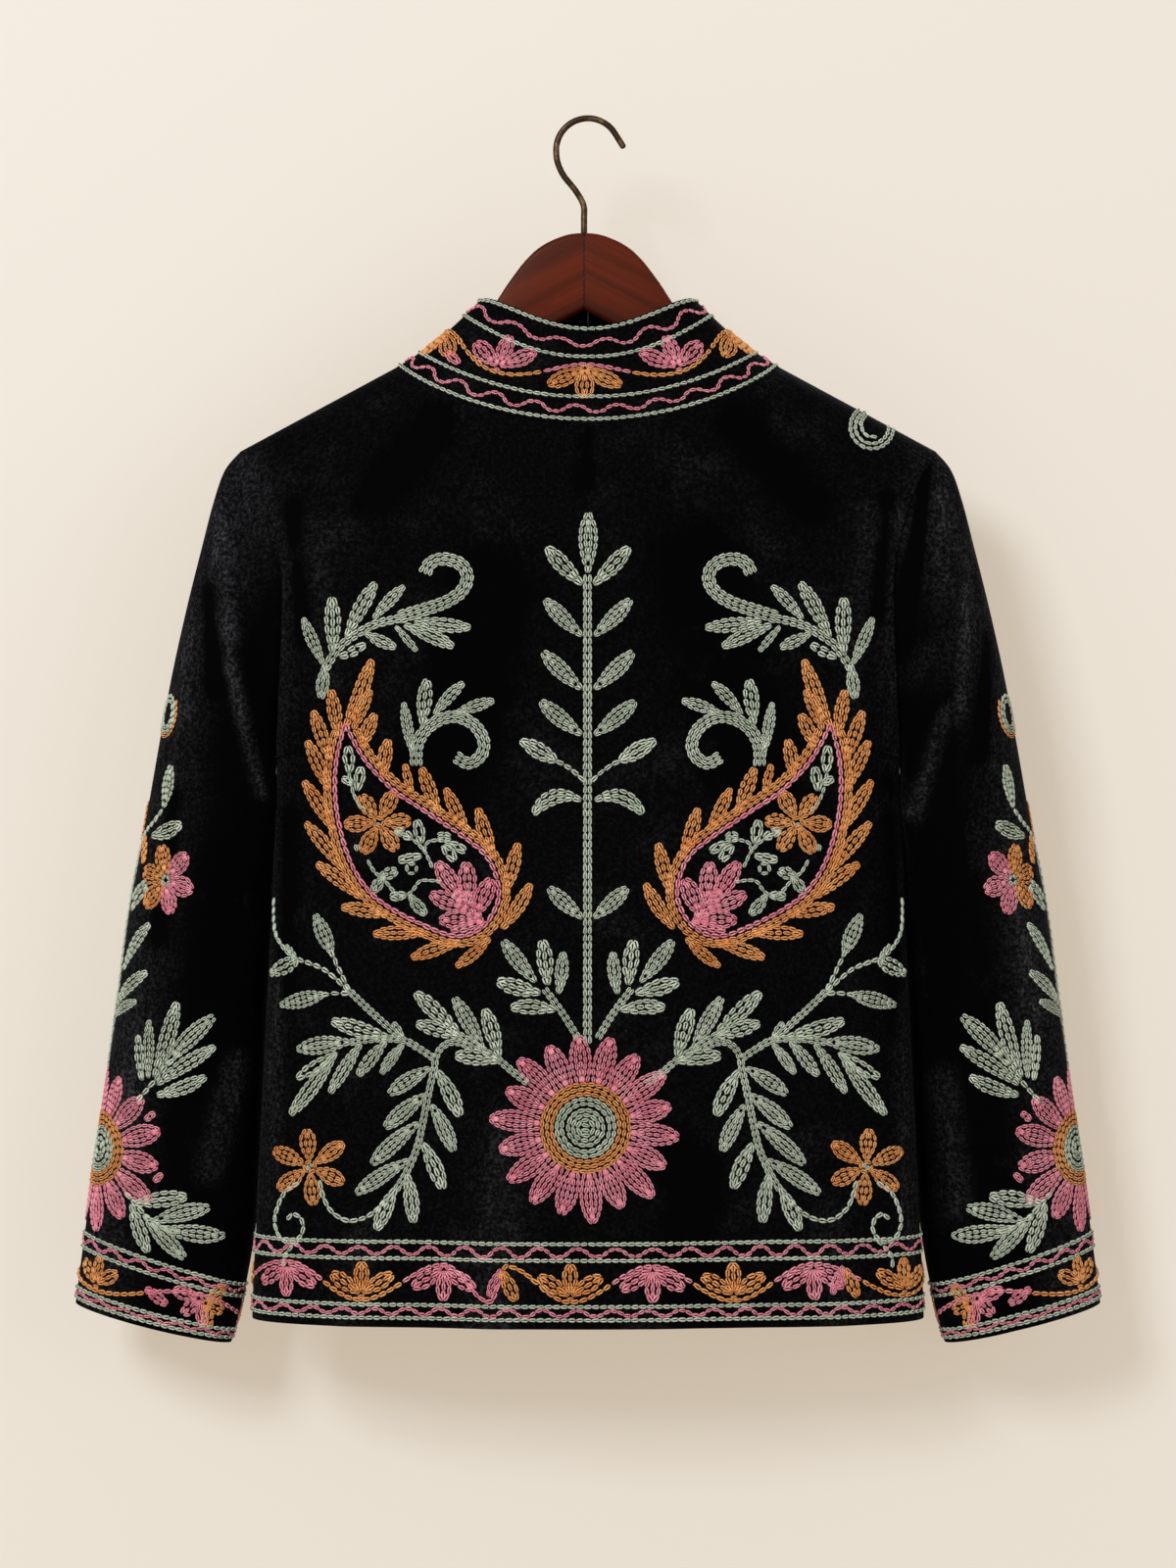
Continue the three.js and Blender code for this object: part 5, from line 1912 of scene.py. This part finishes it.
@dataclass
class Hanger:
    """A wooden hanger of two mitred arms, with a wire hook."""

    body: BodyShape = field(default_factory=BodyShape)
    middle: float = -2.5
    thickness: float = 12
    edge: float = 4
    notch_z: float = -120.6
    underside_slope: float = 0.53
    tip: float = 202
    tip_round: float = 7
    wire: float = 4.1
    inside_radius: float = 18.2

    def rest_depth(self) -> float:
        """How far the board's top stays under the shoulder seam."""
        first = math.pi / 11
        run = ARMHOLE_HALF_DEPTH * math.sin(first)
        fall = ARMHOLE_DROP * (1 - math.cos(first)) / 2
        return WALL + SEAM + (self.thickness / 2 - self.edge) * fall / run

    def arm(self, name: str, hand: int) -> None:
        """Makes one arm of the board, rounded along its edges and at its tip."""
        rest = self.rest_depth()
        out = np.concatenate([np.linspace(0, 128, 49), np.linspace(128, 195, 16)[1:]])
        x = np.where(out < 128, self.middle + hand * out, hand * out)
        x[0] += hand * 0.01
        resting = self.body.ridge_z(out) - rest
        eased = smoothstep(out, 98, 130)
        top = BOARD_TOP.at("out", np.minimum(out, 128), "z")[0] * (1 - eased) + resting * eased
        bottom = self.notch_z - np.abs(x - self.middle) * self.underside_slope
        share = np.sin(np.linspace(0, np.pi / 2, 9)[1:])
        tip_out = self.tip - self.tip_round * (1 - share)
        pull = self.tip_round * (1 - np.sqrt(np.maximum(1 - share**2, 0)))
        x = np.concatenate([x, hand * tip_out])
        top = np.concatenate([top, self.body.ridge_z(tip_out) - rest - pull])
        tip_bottom = self.notch_z - np.abs(hand * tip_out - self.middle) * self.underside_slope
        bottom = np.concatenate([bottom, tip_bottom + pull])
        edge = np.minimum(self.edge, (top - bottom) / 3)[:, None]
        corner = np.repeat([[1, 1], [-1, 1], [-1, -1], [1, -1]], 7, axis=0)
        turn = np.radians(np.concatenate([np.linspace(start, start + 90, 7) for start in (0, 90, 180, 270)]))
        middle_z = np.where(corner[:, 1] > 0, top[:, None] - edge, bottom[:, None] + edge)
        y = corner[:, 0] * (self.thickness / 2 - edge) + edge * np.cos(turn)
        z = middle_z + edge * np.sin(turn)
        points, quads, caps = rod(np.stack([np.broadcast_to(x[:, None], y.shape), y, z], axis=-1))
        finish = WoodFinish(hand, self.middle).material()
        piece = make_piece(name + "_board", points, quads, finish, "wood", caps)
        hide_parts(name)

    def hook(self) -> None:
        """Makes the hook: a stem, an S bend, and an arc that ends in a round tip."""
        radius = self.inside_radius + self.wire / 2
        foot = BOARD_TOP.columns["z"][0] + SEAM
        path: list[tuple[float, float]] = [
            (self.middle, foot),
            (self.middle, foot + 9),
            (self.middle - 0.4, foot + 18),
            (self.middle - 5.8, foot + 27.5),
            (self.middle - 13, foot + 36.5),
            (-radius + 0.9, foot + 45),
        ]
        for degrees in range(180, 29, -15):
            turn = math.radians(degrees)
            path.append((radius * math.cos(turn), -self.inside_radius + radius * math.sin(turn)))
        path.append((radius + 2, -self.inside_radius + 2.5))
        line = smooth_line(path, 1.6)
        half = self.wire / 2
        ends = unit(line[-1:] - line[-2:-1])
        swell = np.cos(np.linspace(0, np.pi / 2, 6))[1:]
        beyond = np.sin(np.linspace(0, np.pi / 2, 6))[1:]
        line = np.concatenate([line, line[-1] + ends * beyond[:, None] * half * 0.8])
        size = np.concatenate([np.full(len(line) - 5, half), half * np.maximum(swell, 0.08)])
        left = sideways(line)
        turn = 2 * np.pi * np.arange(14) / 14
        flat = line[:, None] + size[:, None, None] * np.cos(turn)[None, :, None] * left[:, None]
        y = size[:, None] * np.sin(turn)
        points, quads, caps = rod(np.stack([flat[..., 0], y, flat[..., 1]], axis=-1))
        piece = make_piece("hook_wire", points, quads, BronzeFinish().material(), "bronze", caps)
        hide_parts("hanger_hook")

    def build(self) -> None:
        """Makes the arms and the hook."""
        self.arm("hanger_arm_left", -1)
        self.arm("hanger_arm_right", 1)
        self.hook()


# --- studio ---


@dataclass
class Studio:
    """The camera, a plain pale floor with a screen behind, and soft light."""

    lens: float = 86.4
    floor_z: float = -1.02
    screen_y: float = 0.088
    reach: float = 2.6

    def camera(self) -> None:
        """Sets the camera straight behind the jacket."""
        data = bpy.data.cameras.new("camera")
        data.lens = self.lens
        data.sensor_width = 36
        camera = bpy.data.objects.new("camera", data)
        camera.location = (0, -EYE * MM, EYE_Z * MM)
        camera.rotation_euler = (math.pi / 2, 0, 0)
        bpy.context.scene.collection.objects.link(camera)
        bpy.context.scene.camera = camera

    def sheet(
        self, name: str, corners: Sequence[tuple[float, float, float]], one_sided: bool
    ) -> bpy.types.Object:
        """Makes one flat surface of the studio."""
        mesh = bpy.data.meshes.new(name)
        mesh.from_pydata(corners, [], [(0, 1, 2, 3)])
        mesh.materials.append(PlasterFinish().material(one_sided))
        surface = bpy.data.objects.new(name, mesh)
        bpy.context.scene.collection.objects.link(surface)
        return surface

    def ground(self) -> None:
        """Makes the floor, and the screen that shows only from the jacket's side."""
        far, z, y = self.reach, self.floor_z, self.screen_y
        self.sheet("floor", [(-far, -far, z), (far, -far, z), (far, far, z), (-far, far, z)], False)
        screen = self.sheet("screen", [(-far, y, z), (far, y, z), (far, y, 1.6), (-far, y, 1.6)], True)
        screen.visible_shadow = False
        screen.visible_diffuse = False
        screen.visible_glossy = False

    def lamp(self, name: str, place: tuple[float, float, float], size: float, power: float) -> None:
        """Hangs one soft square lamp that faces the jacket."""
        data = bpy.data.lights.new(name, "AREA")
        data.size = size
        data.energy = power
        data.color = (1.0, 0.985, 0.96)
        lamp = bpy.data.objects.new(name, data)
        lamp.location = place
        aim = np.array([0, 0, EYE_Z * MM]) - np.array(place)
        lamp.rotation_euler = (math.acos(-aim[2] / np.linalg.norm(aim)), 0, math.atan2(-aim[0], aim[1]))
        bpy.context.scene.collection.objects.link(lamp)

    def light(self) -> None:
        """Sets the lamps and the pale air around."""
        self.lamp("key", (-1.7, -3.3, 1.4), 1.1, 122)
        self.lamp("fill", (2.6, -2.6, 0.2), 2.2, 24)
        self.lamp("front", (0.6, 2.4, 1.0), 1.8, 40)
        world = bpy.data.worlds.new("air")
        world.use_nodes = True
        air = world.node_tree.nodes["Background"]
        air.inputs["Color"].default_value = colour("f7f3ec")
        air.inputs["Strength"].default_value = 0.5
        bpy.context.scene.world = world
        bpy.context.scene.view_settings.view_transform = "Standard"

    def build(self) -> None:
        """Makes all of the studio."""
        self.camera()
        self.ground()
        self.light()


def main() -> None:
    """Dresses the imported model."""
    logging.basicConfig(level=logging.INFO, format="%(name)s: %(message)s")
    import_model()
    Studio().build()
    Jacket().build()
    Hanger().build()


if __name__ == "__main__":
    main()
